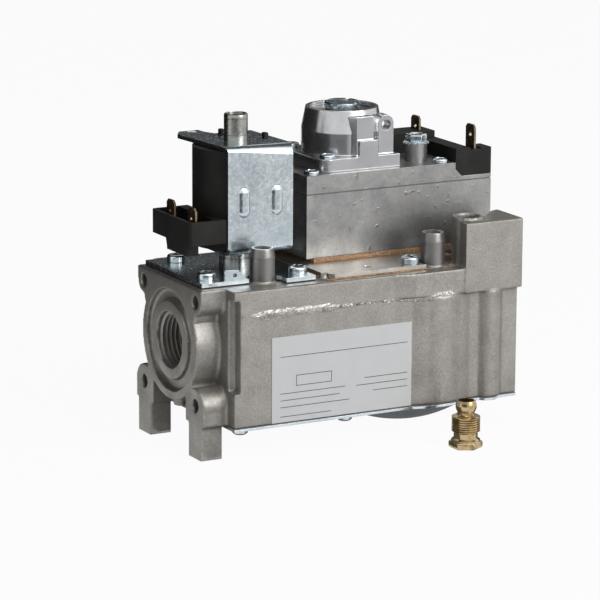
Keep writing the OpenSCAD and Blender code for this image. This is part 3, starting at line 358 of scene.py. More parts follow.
def break_edges(piece, edge_mm, segments=2):
    """Rounds a piece's sharp edges by that many millimetres."""
    apply_modifier(piece, "BEVEL", width=edge_mm * MM, segments=segments, limit_method="ANGLE",
                   angle_limit=SMOOTH_ANGLE, use_clamp_overlap=True)


def soften(piece, voxel_mm, most_faces, passes=3):
    """Recasts a piece with every edge and corner softened, as metal from a die."""
    apply_modifier(piece, "REMESH", mode="VOXEL", voxel_size=voxel_mm * MM)
    apply_modifier(piece, "SMOOTH", factor=0.5, iterations=passes)
    triangles = 2 * len(piece.data.polygons)
    if triangles > most_faces:
        apply_modifier(piece, "DECIMATE", ratio=most_faces / triangles)


def cut(piece, cutter):
    """Takes the cutter's volume out of a piece, and throws the cutter away."""
    apply_modifier(piece, "BOOLEAN", object=cutter, operation="DIFFERENCE", solver="EXACT")
    bpy.data.objects.remove(cutter)


def joined(pieces, name):
    """Several pieces made one."""
    deselect()
    for piece in pieces:
        piece.select_set(True)
    bpy.context.view_layer.objects.active = pieces[0]
    if len(pieces) > 1:
        bpy.ops.object.join()
    pieces[0].name = name
    return pieces[0]


def block(name, low, high):
    """A box between two corners, in millimetres."""
    deselect()
    low, high = Vector(low) * MM, Vector(high) * MM
    bpy.ops.mesh.primitive_cube_add(size=1, location=(low + high) / 2, scale=high - low)
    return settled(name)


def turned(name, at, outline, sides=48):
    """A piece turned on a lathe: rings at each radius and height of the outline, in millimetres, closed
    at both ends or, where the outline comes back to its start, into a tube."""
    deselect()
    centre = Vector((*at, 0)) * MM
    up = Vector((0, 0, MM))
    first_r, first_z = outline[0]
    bpy.ops.mesh.primitive_circle_add(vertices=sides, radius=first_r * MM, location=centre + up * first_z)
    piece = settled(name)
    bpy.ops.object.mode_set(mode="EDIT")
    for (r0, z0), (r1, z1) in zip(outline, outline[1:]):
        bpy.ops.mesh.extrude_edges_move(TRANSFORM_OT_translate={"value": up * (z1 - z0)})
        bpy.ops.transform.resize(value=(r1 / r0, r1 / r0, 1), center_override=centre + up * z1)
    close_up(piece)
    return piece


def rough_strip(name, columns, rows, place, rough_mm, seed):
    """A strip of torn or crumbly surface: place gives its point for a share along and a share up."""
    deselect()
    bpy.ops.mesh.primitive_grid_add(x_subdivisions=columns, y_subdivisions=rows, size=1)
    piece = bpy.context.object
    piece.name = name
    for vertex in piece.data.vertices:
        vertex.co = Vector(place(vertex.co.x + 0.5, vertex.co.y + 0.5)) * MM
    open_whole(piece)
    bpy.ops.transform.vertex_random(offset=rough_mm * MM, seed=seed)
    leave()
    apply_modifier(piece, "SOLIDIFY", thickness=0.4 * MM, offset=-1)
    return piece


def box_mm(node):
    """The lowest and highest corners of a CAD node, in millimetres."""
    return [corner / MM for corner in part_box(node)]


def axis_of(low, high):
    """Where the upright axis through the middle of a box stands."""
    return (low.x + high.x) / 2, (low.y + high.y) / 2


def islands(node):
    """The lowest and highest corners, in millimetres, of each separate solid of a CAD node."""
    open_whole(merged_copy(node, "apart"))
    bpy.ops.mesh.separate(type="LOOSE")
    leave()
    boxes = []
    for solid in list(bpy.context.selected_objects):
        spots = [vertex.co / MM for vertex in solid.data.vertices]
        boxes.append([Vector(corner(axis) for axis in zip(*spots)) for corner in (min, max)])
        bpy.data.objects.remove(solid)
    return sorted(boxes, key=lambda box: tuple(box[0]))


def spread_at(node, at, level):
    """The least and the greatest distance from an upright axis of a CAD node's points at one height."""
    near = 0.01
    far = [hypot(v.co.x / MM - at[0], v.co.y / MM - at[1]) for v in frame["nodes"][node].data.vertices
           if abs(v.co.z / MM - level) <= near]
    return min(far), max(far)


def paint(piece, finish):
    """Gives a piece one finish all over."""
    piece.data.materials.clear()
    piece.data.materials.append(bpy.data.materials[finish])


def smooth(piece):
    """Smooth shading with the real edges kept sharp and, on all but a fine mesh, the flats kept flat."""
    take_up(piece)
    bpy.ops.object.shade_smooth_by_angle(angle=SMOOTH_ANGLE)
    if len(piece.data.polygons) < FINE_MESH:
        apply_modifier(piece, "WEIGHTED_NORMAL", keep_sharp=True)


def usual_finish(node):
    """The finish that goes with a CAD node's material slot."""
    return FINISH_OF[SLOT_OF[node]]


def finished(piece, finish):
    """Shades and paints a piece."""
    smooth(piece)
    paint(piece, finish)


def fit_to(piece, finish, node):
    """A finished piece is fixed to a CAD node, which stays."""
    finished(piece, finish)
    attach(piece, BODY_OF[node])


def stand_for(piece, finish, node):
    """A finished piece takes the place of its CAD node and moves with the node's body."""
    fit_to(piece, finish, node)
    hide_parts(node)


def spring_between(piece, node):
    """A spring's piece is shaded and painted, takes its CAD node's place, and has its placing put into its
    mesh.
    """
    finished(piece, usual_finish(node))
    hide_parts(node)
    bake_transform(piece)


def dress(node, edge_mm, finish=None):
    """A copy of a CAD node, its sharp edges rounded by that many millimetres, takes the node's place."""
    piece = merged_copy(node, node + "_dressed")
    break_edges(piece, edge_mm)
    stand_for(piece, finish or usual_finish(node), node)


def cork_edge(node, seed):
    """The crumbly front edge of a cork gasket."""
    low, high = box_mm(node)
    inset, proud, sunk = 0.4, 0.22, 0.1

    def place(along, up):
        x = low.x + inset + (high.x - low.x - 2 * inset) * along
        edge = min(1, 4 * up, 4 * (1 - up), 30 * along, 30 * (1 - along))
        return x, low.y - proud * edge + sunk, low.z + (high.z - low.z) * up

    return rough_strip(node + "_edge", 220, 5, place, 0.12, seed)


def pan_screw(box, head_mm):
    """One flat pan-head screw with a rounded rim and a wide cross recess, where a CAD screw stands."""
    low, high = box
    at = axis_of(low, high)
    r = (high.x - low.x) / 2
    seat = high.z - head_mm
    top = high.z - 0.12 * head_mm
    shank = r * 0.55
    soft = head_mm * 0.3
    outline = [(shank, low.z), (shank, seat), (r * 0.97, seat), (r, seat + 0.15)]
    outline += [(r - soft * (1 - cos(t)), top - soft * (1 - sin(t)))
                for t in (radians(15 * k) for k in range(7))]
    outline += [(r * 0.3, top)]
    piece = turned("screw", at, outline, 40)
    wide, long, deep = r * 0.38, r * 1.3, head_mm * 0.55
    for length, width in ((long, wide), (wide, long)):
        cut(piece, block("drive", (at[0] - length / 2, at[1] - width / 2, top - deep),
                         (at[0] + length / 2, at[1] + width / 2, high.z + 1)))
    return piece


class ValveFinish(PropertyGroup):
    """Colours of the valve's finishes."""
    cast_light: StringProperty(
        name="Casting light", description="Light tone of the body", default="#9f9c97")
    cast_dark: StringProperty(name="Casting dark", description="Dark tone of the body", default="#8c8984")
    upper_light: StringProperty(
        name="Upper light", description="Light tone of the block", default="#a5a4a2")
    upper_dark: StringProperty(name="Upper dark", description="Dark tone of the block", default="#7e7e7f")
    zinc_light: StringProperty(name="Zinc light", description="Light tone of the plate", default="#e0e8ec")
    zinc_dark: StringProperty(name="Zinc dark", description="Dark tone of the plate", default="#c6d1d7")
    brass: StringProperty(name="Brass", description="Bright tone of the turned brass", default="#c6b08a")
    label: StringProperty(name="Label", description="Ground of the rating label", default="#d2d4d5")


class ValveSizes(PropertyGroup):
    """Sizes of what is shaped on the frame."""
    cast_voxel: FloatProperty(
        name="Casting softness", description="Finest feature of the cast body", default=0.5 * MM,
        unit="LENGTH")
    thread_pitch: FloatProperty(
        name="Thread pitch", description="Pitch of the half-inch pipe thread", default=1.814 * MM,
        unit="LENGTH")
    thread_turns: IntProperty(name="Thread turns", description="Turns of thread in each port", default=7)
    port_radius: FloatProperty(
        name="Port radius", description="Radius of the threaded ports", default=10.5 * MM, unit="LENGTH")
    yoke_bend: FloatProperty(
        name="Yoke bend", description="Outer radius of the yoke's two bends", default=4.4 * MM,
        unit="LENGTH")
    flash_height: FloatProperty(
        name="Flash height", description="Height of the torn parting line", default=13.8 * MM,
        unit="LENGTH")


class ValveStage(PropertyGroup):
    """The studio round the valve."""
    lens: FloatProperty(name="Lens", description="Focal length in millimetres", default=201.6)
    azimuth: FloatProperty(name="Azimuth", description="Camera angle round the valve", default=-28.38)
    elevation: FloatProperty(name="Elevation", description="Camera angle above the floor", default=12.85)
    roll: FloatProperty(name="Roll", description="Camera tilt about its own axis", default=0.28)
    distance: FloatProperty(
        name="Distance", description="From the camera to the valve", default=1.219, unit="LENGTH")


class VALVE_OT_finishes(Operator):
    """Make every finish and give each CAD node its own"""
    bl_idname = "valve.finishes"
    bl_label = "Finishes"

    def execute(self, context):
        tone = context.scene.valve_finish
        cast_aluminium("satin_cast_aluminium", tone.cast_light, tone.cast_dark, roughness=0.44,
                       metallic=0.7, cloud_mm=9, grain_mm=0.8, grain_tone=0.2)
        cast_aluminium("upper_casting_aluminium", tone.upper_light, tone.upper_dark, roughness=0.36,
                       metallic=0.8, cloud_mm=9, grain_mm=1.2, grain_tone=0.1, dent=0.5, fleck=0.3)
        cast_aluminium("turret_casting_aluminium", "#cbccce", "#b9babc", roughness=0.21, metallic=0.9,
                       cloud_mm=10, grain_mm=0.8, grain_tone=0.04, dent=0.0)
        cast_aluminium("machined_aluminium", "#8b8987", "#7f7d7b", roughness=0.36, metallic=0.85,
                       cloud_mm=6, grain_mm=0.6, grain_tone=0.05, dent=0.05)
        cast_aluminium("torn_casting_edge", "#b9b6b0", "#7f7c77", roughness=0.38, metallic=0.7,
                       cloud_mm=1.5, grain_mm=0.6, grain_tone=0.2)
        plated_steel("bright_zinc_plate", tone.zinc_light, tone.zinc_dark, roughness=0.2)
        plated_steel("satin_nickel_plate", "#cfcac1", "#b3afa6", roughness=0.3)
        plated_steel("turned_steel", "#a3a39f", "#999995", roughness=0.26, cloud_mm=12, spangle_tone=0.99,
                     uneven=0.02)
        plated_steel("drawn_spring_wire", "#8d8e90", "#77787a", roughness=0.34, cloud_mm=4)
        moulded_plastic("glass_filled_nylon", "#1c1b1a", "#2a2928")
        tarnished_brass("turned_brass", tone.brass, "#8b7a58", roughness=0.17)
        tarnished_brass("stamped_brass", "#93846a", "#5f5545", roughness=0.36)
        cork_sheet("bonded_cork", "#e8bd94", "#a07a58")
        label_film("printed_polyester", tone.label, roughness=0.42)
        label_film("printed_ink", "#3b3b3d", roughness=0.5)
        sheet_rubber("nitrile_rubber", "#161616", "#2e2e2d")
        wound_copper("varnished_copper_wire", "#b66a3c", "#7a4022")
        sheet_rubber("compressed_fibre", "#6c6e70", "#7d7f81")
        for node, piece in frame["nodes"].items():
            paint(piece, usual_finish(node))
        for node in ("servo_gasket", "bottom_gasket"):
            paint(frame["nodes"][node], "compressed_fibre")
        return {"FINISHED"}


class VALVE_OT_casting(Operator):
    """Soften the cast body as it leaves its die, with its front bulged and run up to the thicker band"""
    bl_idname = "valve.casting"
    bl_label = "Cast body"

    def execute(self, context):
        # The ramp: its two ends along the front, how far it stands proud, its foot, and how it is let in.
        start, end, proud, foot = 75.0, 84.3, 2.1, 14.1
        sunk, below_deck, near = 3, 0.05, 0.1
        ramp = block("ramp", (start, FRONT - proud, foot), (end, FRONT + sunk, DECK - below_deck))
        pick(ramp, "VERT", lambda spot: spot.x < start + near and spot.y < FRONT)
        bpy.ops.transform.translate(value=(0, (proud + near) * MM, 0))
        leave()
        forms = [merged_copy("main_body", "cast_body"), ramp]
        # The round forms: their ends, the thickness that stays of them, and what lies behind that.
        low, high, skin = -27.2, 13.6, 0.8
        left, right, far = 60, 150, 60
        for name, x, back, r, sides in (("bulge", 96.2, 14.4, 17.2, 128), ("column", 117.3, 2.7, 5.6, 64)):
            form = turned(name, (x, FRONT + back), [(r, low), (r, high)], sides)
            cut(form, block("behind", (left, FRONT + skin, -far), (right, far, far)))
            forms.append(form)
        # The stem's guide, wide enough for it to slide in once the casting is softened.
        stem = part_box("main_stem")[1].z / MM
        guide_at, guide_r, guide_down, guide_end = (96.0, 0.0), 3.3, 12, 0.9
        guide = [(guide_r, stem - guide_down), (guide_r, DECK - guide_end)]
        cut(forms[0], turned("guide", guide_at, guide))
        piece = joined(forms, "cast_body")
        soften(piece, context.scene.valve_sizes.cast_voxel / MM, most_faces=190000)
        stand_for(piece, "satin_cast_aluminium", "main_body")
        return {"FINISHED"}


class VALVE_OT_threads(Operator):
    """Cut the pipe threads of both ports"""
    bl_idname = "valve.threads"
    bl_label = "Port threads"

    def execute(self, context):
        size = context.scene.valve_sizes
        low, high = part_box("main_body")
        half = size.thread_pitch * 0.58
        reach = size.thread_pitch * size.thread_turns
        lead, sunk = 1.2 * MM, 0.1 * MM
        for name, start in (("inlet_thread", low.x + lead), ("outlet_thread", high.x - lead - reach)):
            deselect()
            bpy.ops.mesh.primitive_circle_add(vertices=3, radius=half,
                                              location=(start, -size.port_radius - sunk, 0))
            piece = settled(name)
            apply_modifier(piece, "SCREW", axis="X", screw_offset=size.thread_pitch, steps=64,
                           render_steps=64, iterations=size.thread_turns, use_normal_calculate=True)
            close_up(piece)
            break_edges(piece, 0.14)
            fit_to(piece, "satin_cast_aluminium", "main_body")
        return {"FINISHED"}


class VALVE_OT_nipples(Operator):
    """Turn the outsides of the two test nipples"""
    bl_idname = "valve.nipples"
    bl_label = "Test nipples"

    def execute(self, context):
        r, bore, skin = 4.5, 2.9, 0.06
        top = DECK + 13
        outside = [(r + 0.75, DECK + 0.05), (r + 0.3, DECK + 0.45), (r + skin, DECK + 1.0),
                   (r + skin, top - 3.4), (r - 0.1, top - 3.3), (r - 0.1, top - 3.1), (r + skin, top - 3.0),
                   (r - 0.3, top - 0.5), (r - 0.55, top + skin)]
        inside = [(bore + 0.45, top + skin), (bore - skin, top - 0.35), (bore - skin, top - 4.2),
                  (bore + 0.2, top - 4.2), (bore + 0.2, top - 0.5), (r - 0.8, top - 0.4),
                  (r - 0.4, DECK + 1.0), (r - 0.4, DECK + 0.05)]
        outline = [*outside, *inside, outside[0]]
        skins = [turned("nipple", axis_of(*box_mm(node)), outline, 64)
                 for node in ("inlet_test_screw", "outlet_test_screw")]
        fit_to(joined(skins, "nipple_skins"), "machined_aluminium", "main_body")
        return {"FINISHED"}


class VALVE_OT_flash(Operator):
    """Tear the flash off the parting line along the front"""
    bl_idname = "valve.flash"
    bl_label = "Parting line"

    def execute(self, context):
        middle = context.scene.valve_sizes.flash_height / MM
        chamber_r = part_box("main_body")[1].y / MM
        low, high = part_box("main_diaphragm")
        chamber_x = (low.x + high.x) / 2 / MM
        start, end = 12.8, 108.0
        thin_x, thin_half = 66, 15

        def place(along, up):
            x = start + (end - start) * along
            bulge = chamber_r ** 2 - (x - chamber_x) ** 2
            surface = min(FRONT, -sqrt(bulge)) if bulge > 0 else FRONT
            ends = min(1, along * 12, (1 - along) * 12)
            thin = exp(-((x - thin_x) / thin_half) ** 4)
            wavy = 0.2 * sin(along * 71) + 0.12 * sin(along * 173)
            height = (1.9 - 1.5 * thin + wavy) * ends + 0.1
            proud = (0.42 - 0.14 * thin) * sin(up * pi) * ends - 0.12
            return x, surface - proud, middle + (up - 0.5) * 2 * height

        piece = rough_strip("parting_flash", 300, 11, place, 0.24, 4)
        fit_to(piece, "torn_casting_edge", "main_body")
        return {"FINISHED"}


class VALVE_OT_label(Operator):
    """Rule the empty form on the rating label"""
    bl_idname = "valve.label"
    bl_label = "Label rules"

    def execute(self, context):
        low, high = box_mm("rating_label")
        line, skin = 0.24, 0.03
        long, tall = high.x - low.x, high.z - low.z
        margin, edge = 0.06, 0.97
        left, right, bottom, top = 0.17, 0.42, 0.41, 0.53
        rules = [(margin, edge, 0.76)]
        rules += [(margin, end, level)
                  for end, level in ((0.52, 0.33), (0.48, 0.25), (0.55, 0.17), (0.42, 0.06))]
        rules += [(start, edge, level) for start, level in ((0.66, 0.40), (0.60, 0.32), (0.72, 0.24))]
        rules += [(left, right, level) for level in (bottom, top)]
        bars = []
        for start, end, level in rules:
            z = low.z + tall * level
            bars.append(block("rule", (low.x + long * start, low.y - skin, z),
                              (low.x + long * end, low.y + skin, z + line)))
        for share in (left, right):
            x = low.x + long * share
            bars.append(block("rule", (x, low.y - skin, low.z + tall * bottom),
                              (x + line, low.y + skin, low.z + tall * top + line)))
        piece = joined(bars, "label_rules")
        break_edges(piece, 0.01, 1)
        fit_to(piece, "printed_ink", "rating_label")
        return {"FINISHED"}


class VALVE_OT_plates(Operator):
    """Round the edges of the plates and crumble those of the cork gaskets"""
    bl_idname = "valve.plates"
    bl_label = "Plates and gaskets"

    def execute(self, context):
        for node, edge in (("bottom_plate", 0.3), ("operator_plate", 0.3), ("separator_plate", 0.35)):
            dress(node, edge)
        for node, seed in (("separator_gasket_upper", 3), ("separator_gasket_lower", 8)):
            fit_to(cork_edge(node, seed), "bonded_cork", node)
        return {"FINISHED"}


class VALVE_OT_springs(Operator):
    """Copy the springs in place of their CAD nodes, the regulator's spring as two halves cut at its middle,
    and the regulator's diaphragm as a sheet
    """
    bl_idname = "valve.springs"
    bl_label = "Springs"

    def execute(self, context):
        for node, moving in (("main_spring", "main_valve"), ("safety_spring", "safety_valve"),
                             ("servo_spring", "servo_valve")):
            low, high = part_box(node)
            spring_between(merged_copy(node, node + "_wire"), node)
        low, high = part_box("regulator_spring")
        middle = (low + high) / 2
        for name, moving, end, above in (("regulator_spring_lower", "regulator_valve", low.z, True),
                                         ("regulator_spring_upper", "spring_carrier", high.z, False)):
            half = merged_copy("regulator_spring", name)
            open_whole(half)
            bpy.ops.mesh.bisect(plane_co=middle, plane_no=(0, 0, 1), use_fill=True,
                                clear_outer=above, clear_inner=not above)
            leave()
            spring_between(half, "regulator_spring")
        sheet = merged_copy("regulator_diaphragm", "regulator_diaphragm_sheet")
        stand_for(sheet, usual_finish("regulator_diaphragm"), "regulator_diaphragm")
        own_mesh(sheet)
        return {"FINISHED"}


class VALVE_OT_guide_tube(Operator):
    """Turn the solenoid's guide tube"""
    bl_idname = "valve.guide_tube"
    bl_label = "Guide tube"

    def execute(self, context):
        low, high = box_mm("guide_tube")
        at = axis_of(low, high)
        shelf, yoke_top = (corner.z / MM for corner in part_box("solenoid_yoke"))
        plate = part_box("operator_plate")[0].z / MM
        bore, tube = spread_at("guide_tube", at, high.z)
        flange = spread_at("guide_tube", at, low.z)[1]
        base = spread_at("guide_tube", at, shelf)[1]
        waist = shelf - (shelf - plate) * 0.42
        groove, line_deep = 0.35, 0.14
        outline = [(flange, low.z), (flange, plate), (base, plate), (base, waist),
                   (base - groove, waist + 0.15), (base - groove, waist + 0.55), (base, waist + 0.7),
                   (base, shelf - 0.4), (base - 0.4, shelf), (tube, shelf)]
        for line in (yoke_top + 2.0, high.z - 1.9):
            outline += [(tube, line), (tube - line_deep, line + 0.12), (tube - line_deep, line + 0.24),
                        (tube, line + 0.36)]
        outline += [(tube, high.z - 0.7), (tube - 0.12, high.z - 0.25), (tube - 0.4, high.z),
                    (bore + 0.25, high.z), (bore, high.z - 0.4), (bore, low.z), (flange, low.z)]
        stand_for(turned("guide_tube_turned", at, outline, 64), "turned_steel", "guide_tube")
        return {"FINISHED"}


class VALVE_OT_yoke(Operator):
    """Bend the solenoid's yoke and press out its two long bumps"""
    bl_idname = "valve.yoke"
    bl_label = "Solenoid yoke"

    def execute(self, context):
        bend = context.scene.valve_sizes.yoke_bend / MM
        low, high = box_mm("solenoid_yoke")
        piece = merged_copy("solenoid_yoke", "yoke_bent")
        near, along = 0.02, 0.99
        for level, radius in ((high.z, bend), (low.z, 0.6 * bend)):
            pick(piece, "EDGE", lambda spot, way: abs(spot.y - low.y) < near and abs(spot.z - level) < near
                 and abs(way.x) > along)
            bpy.ops.mesh.bevel(offset=radius * MM, segments=9, affect="EDGES")
        leave()
        # The bumps: places across and up the yoke's face, then end radius, half length and flatness.
        ear, apart, share_up = 3.2, 6.7, 0.49
        r, half, sunk, flat = 2.4, 3.4, 0.2, 0.5
        middle = (low.x + ear + high.x) / 2
        z = low.z + (high.z - low.z) * share_up
        turns = [radians(9 * k) for k in range(10)]
        rounded = [(r * cos(t), half + r * sin(t)) for t in turns]
        outline = [(ring, z - up) for ring, up in reversed(rounded)]
        outline += [(ring, z + up) for ring, up in rounded]
        bumps = []
        for x in (middle - apart, middle + apart):
            bump = turned("bump", (x, low.y + sunk), outline)
            take_up(bump)
            bpy.ops.transform.resize(value=(1, flat, 1), center_override=Vector((x, low.y + sunk, z)) * MM)
            bumps.append(settled("bump"))
        break_edges(piece, 0.22)
        stand_for(piece, "bright_zinc_plate", "solenoid_yoke")
        fit_to(joined(bumps, "yoke_bumps"), "bright_zinc_plate", "solenoid_yoke")
        return {"FINISHED"}


class VALVE_OT_coil(Operator):
    """Round the coil's moulding and its connector, and stand its two lugs through the yoke"""
    bl_idname = "valve.coil"
    bl_label = "Coil moulding"

    def execute(self, context):
        left = box_mm("coil_moulding")[0].x
        near, upright, corner = 0.05, 0.99, 1.4
        piece = merged_copy("coil_moulding", "coil_rounded")
        pick(piece, "EDGE", lambda spot, way: abs(way.z) > upright and spot.x < left + near)
        bpy.ops.mesh.bevel(offset=corner * MM, segments=4, affect="EDGES")
        leave()
        break_edges(piece, 0.35)
        stand_for(piece, "glass_filled_nylon", "coil_moulding")
        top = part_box("solenoid_yoke")[1].z / MM
        half_x, half_y, sunk, tall = 0.9, 1.2, 0.6, 1.9
        lugs = [block("lug", (x - half_x, y - half_y, top - sunk), (x + half_x, y + half_y, top + tall))
                for x, y in ((28.3, 13.2), (39.2, -0.7))]
        lugs = joined(lugs, "coil_lugs")
        break_edges(lugs, 0.3)
        fit_to(lugs, "glass_filled_nylon", "coil_moulding")
        dress("coil_tabs", 0.18, "stamped_brass")
        return {"FINISHED"}


class VALVE_OT_upper(Operator):
    """Round the upper block, its cover and the terminal block"""
    bl_idname = "valve.upper"
    bl_label = "Upper block"

    def execute(self, context):
        dress("servo_housing", 0.45)
        dress("servo_cover", 0.45)
        dress("terminal_block", 0.35)
        dress("terminal_block_tabs", 0.18, "stamped_brass")
        return {"FINISHED"}


class VALVE_OT_turret(Operator):
    """Soften the regulator's turret and round its cap"""
    bl_idname = "valve.turret"
    bl_label = "Regulator turret"

    def execute(self, context):
        piece = merged_copy("regulator_housing", "turret_cast")
        soften(piece, voxel_mm=0.2, most_faces=120000)
        stand_for(piece, "turret_casting_aluminium", "regulator_housing")
        dress("cap_screw", 0.3)
        return {"FINISHED"}


class VALVE_OT_screws(Operator):
    """Turn the screws and round those below"""
    bl_idname = "valve.screws"
    bl_label = "Screws"

    def execute(self, context):
        for node, head in (("operator_screws", 3.1), ("separator_screws", 3.1), ("servo_cover_screws", 1.9),
                           ("regulator_screws", 1.9)):
            piece = joined([pan_screw(box, head) for box in islands(node)], node + "_turned")
            break_edges(piece, 0.1)
            stand_for(piece, "bright_zinc_plate", node)
        dress("bottom_plate_screws", 0.35)
        return {"FINISHED"}


class VALVE_OT_earth_screw(Operator):
    """Make the earth screw with its toothed washer"""
    bl_idname = "valve.earth_screw"
    bl_label = "Earth screw"

    def execute(self, context):
        low, high = box_mm("earth_screw")
        at = axis_of(low, high)
        r = (high.x - low.x) / 2
        washer, head, sides, shrink = 1.0, 2.6, 36, 0.9
        seat = high.z - head - washer
        base = seat + washer
        hexagon = turned("hexagon", at, [
            (r * 0.76, base), (r * 0.8, base + 0.3), (r * 0.8, high.z - 0.5), (r * 0.7, high.z - 0.1),
            (r * 0.5, high.z - 0.1), (r * 0.46, high.z - 0.6), (0.3, high.z - 0.7)], 6)
        collar = turned("collar", at, [
            (r * 0.4, low.z), (r * 0.4, seat), (r * 0.9, seat), (r * 0.93, seat + 0.35),
            (r * 0.93, seat + 0.7), (r * 0.84, base), (r * 0.5, base + 0.1)])
        teeth = turned("teeth", at, [
            (r, seat + 0.1), (r, seat + 0.55), (r * 0.7, seat + 0.6), (r * 0.7, seat + 0.05),
            (r, seat + 0.1)], sides)

        def between_teeth(spot):
            x, y = spot.x - at[0], spot.y - at[1]
            return hypot(x, y) > r * shrink and round(degrees(atan2(y, x)) / 360 * sides) % 2 == 0

        pick(teeth, "VERT", between_teeth)
        bpy.ops.transform.resize(value=(shrink, shrink, 1), center_override=Vector((*at, seat)) * MM)
        leave()
        break_edges(hexagon, 0.2)
        stand_for(joined([hexagon, collar, teeth], "earth_screw_made"), "bright_zinc_plate", "earth_screw")
        return {"FINISHED"}


class VALVE_OT_fitting(Operator):
    """Turn the loose pilot fitting and its olive"""
    bl_idname = "valve.fitting"
    bl_label = "Pilot fitting"

    def execute(self, context):
        low, high = box_mm("pilot_nut")
        at = axis_of(low, high)
        bore = spread_at("pilot_nut", at, low.z)[0]
        wide = (high.x - low.x) / 2
        head, neck, thread, tip = 2.7, 3.4, 6.1, 1.3
        neck_r, thread_r, tip_r = 4.45, 5.3, 3.2
        crests, deep = 7, 0.55
        z = low.z + head
        hexagon = turned("hexagon", at, [
            (wide * 0.93, low.z), (wide, low.z + 0.4), (wide, z - 0.4), (wide * 0.93, z), (bore, z),
            (bore, low.z), (wide * 0.93, low.z)], 6)
        rim = [(bore, z - 0.2), (wide * 0.84, z - 0.2), (wide * 0.84, z + 0.5), (neck_r + 0.4, z + 0.8),
               (neck_r, z + 1.2), (neck_r, z + neck - 0.3), (thread_r - 0.6, z + neck)]
        z += neck
        step = thread / crests
        for k in range(crests):
            rim += [(thread_r - deep, z + step * (k + 0.1)), (thread_r, z + step * (k + 0.4)),
                    (thread_r, z + step * (k + 0.6)), (thread_r - deep, z + step * (k + 0.9))]
        z += thread
        rim += [(thread_r - 0.9, z + 0.1), (tip_r + 0.3, z + 0.3), (tip_r, z + 0.6), (tip_r, z + tip),
                (bore, z + tip), (bore, low.z + head - 0.2)]
        spindle = turned("spindle", at, rim, 56)
        break_edges(hexagon, 0.25)
        stand_for(joined([hexagon, spindle], "fitting_turned"), "turned_brass", "pilot_nut")
        low, high = box_mm("pilot_olive")
        r = (high.x - low.x) / 2
        tall = high.z - low.z
        hole = 3.0
        olive = turned("olive_turned", at, [
            (tip_r, low.z), (r * 0.93, low.z + tall * 0.2), (r, low.z + tall * 0.42),
            (r, low.z + tall * 0.6), (r * 0.95, low.z + tall * 0.82), (r * 0.89, high.z), (hole, high.z),
            (hole, low.z + tall * 0.3), (bore, low.z + tall * 0.25), (bore, low.z), (tip_r, low.z)], 56)
        stand_for(olive, "turned_brass", "pilot_olive")
        return {"FINISHED"}


# Cards that are seen only in reflections, each emitting its fixed tone: painted reflections of darker
# surroundings and of the shaded floor under the valve, which light and shade nothing. Columns: tone, angle
# round the valve from its front, distance, rise above the floor, width and height in metres, and whether
# the card lies flat.
CARDS = {
    "left_front_card": ("#262626", -42, 0.3, 0.045, 0.36, 0.09, False),
    "right_card": ("#262626", 125, 0.32, 0.06, 0.2, 0.12, False),
    "left_back_card": ("#1b1b1b", -145, 0.24, 0.2, 0.4, 0.4, False),
    "back_card": ("#3a3a3a", 152, 0.9, 0.25, 1.6, 0.5, False),
    "over_card": ("#5a5a5a", 180, 0.12, 0.5, 1.0, 0.5, True),
    "table_card": ("#bebebe", 0, 1.05, 0.001, 1.5, 1.5, True),
    "under_card": ("#6a6a6a", 90, 0.012, 0.001, 0.15, 0.09, True),
}
# Lamps: place from the valve's middle and width in metres, and power in watts.
LAMPS = {"key": ((0.5, -1.07, 0.45), 0.8, 8.6), "top": ((0.0, -0.75, 1.0), 1.0, 4)}


def seen(tree):
    """One for a ray that shows what it meets, also in metal or glass, and nought for one that lights."""
    path = add(tree, "LightPath")
    share = path["Is Camera Ray"]
    for kind in ("Is Glossy Ray", "Is Transmission Ray"):
        share = add(tree, "Math", {0: share, 1: path[kind]}, operation="MAXIMUM")[0]
    return share


def lay_floor(low):
    """A pale floor that keeps the valve's shadow and otherwise shows nearly white."""
    deselect()
    bpy.ops.mesh.primitive_plane_add(size=8, location=(0.05, 0.5, low))
    floor = bpy.context.object
    floor.name = "floor"
    tree = bare_tree(bpy.data.materials.new("pale_floor"))
    share = add(tree, "Math", {0: seen(tree), 1: 0.95}, operation="MULTIPLY")
    lit = add(tree, "BsdfDiffuse", {"Color": "#f4f4f4"})
    plain = add(tree, "Emission", {"Color": "#ffffff"})
    mixed = add(tree, "MixShader", {0: share[0], 1: lit[0], 2: plain[0]})
    add(tree, "OutputMaterial", {"Surface": mixed[0]})
    paint(floor, "pale_floor")


def hang_cards(centre, low):
    """The cards round the valve, each facing it or lying flat, painting dark reflections on the metal
    without lighting or shading it.
    """
    for name, (tone, turn, away, rise, wide, tall, lies) in CARDS.items():
        tree = bare_tree(bpy.data.materials.new(name))
        # The card's tone is emitted as it is: a painted reflection, neither a lamp nor a shadow.
        dull = add(tree, "Emission", {"Color": tone})
        add(tree, "OutputMaterial", {"Surface": dull[0]})
        bpy.ops.mesh.primitive_plane_add(size=1, location=(0, 0, 0))
        card = bpy.context.object
        card.name = name
        place = Vector((sin(radians(turn)), -cos(radians(turn)), 0)) * away
        facing = Vector((0, 0, 1)) if lies else -place
        place += Vector((centre.x, centre.y, low + rise))
        turned_to = facing.to_track_quat("Z", "Y")
        card.matrix_world = Matrix.LocRotScale(place, turned_to, Vector((wide, tall, 1)))
        paint(card, name)
        card.visible_camera = card.visible_diffuse = card.visible_shadow = False


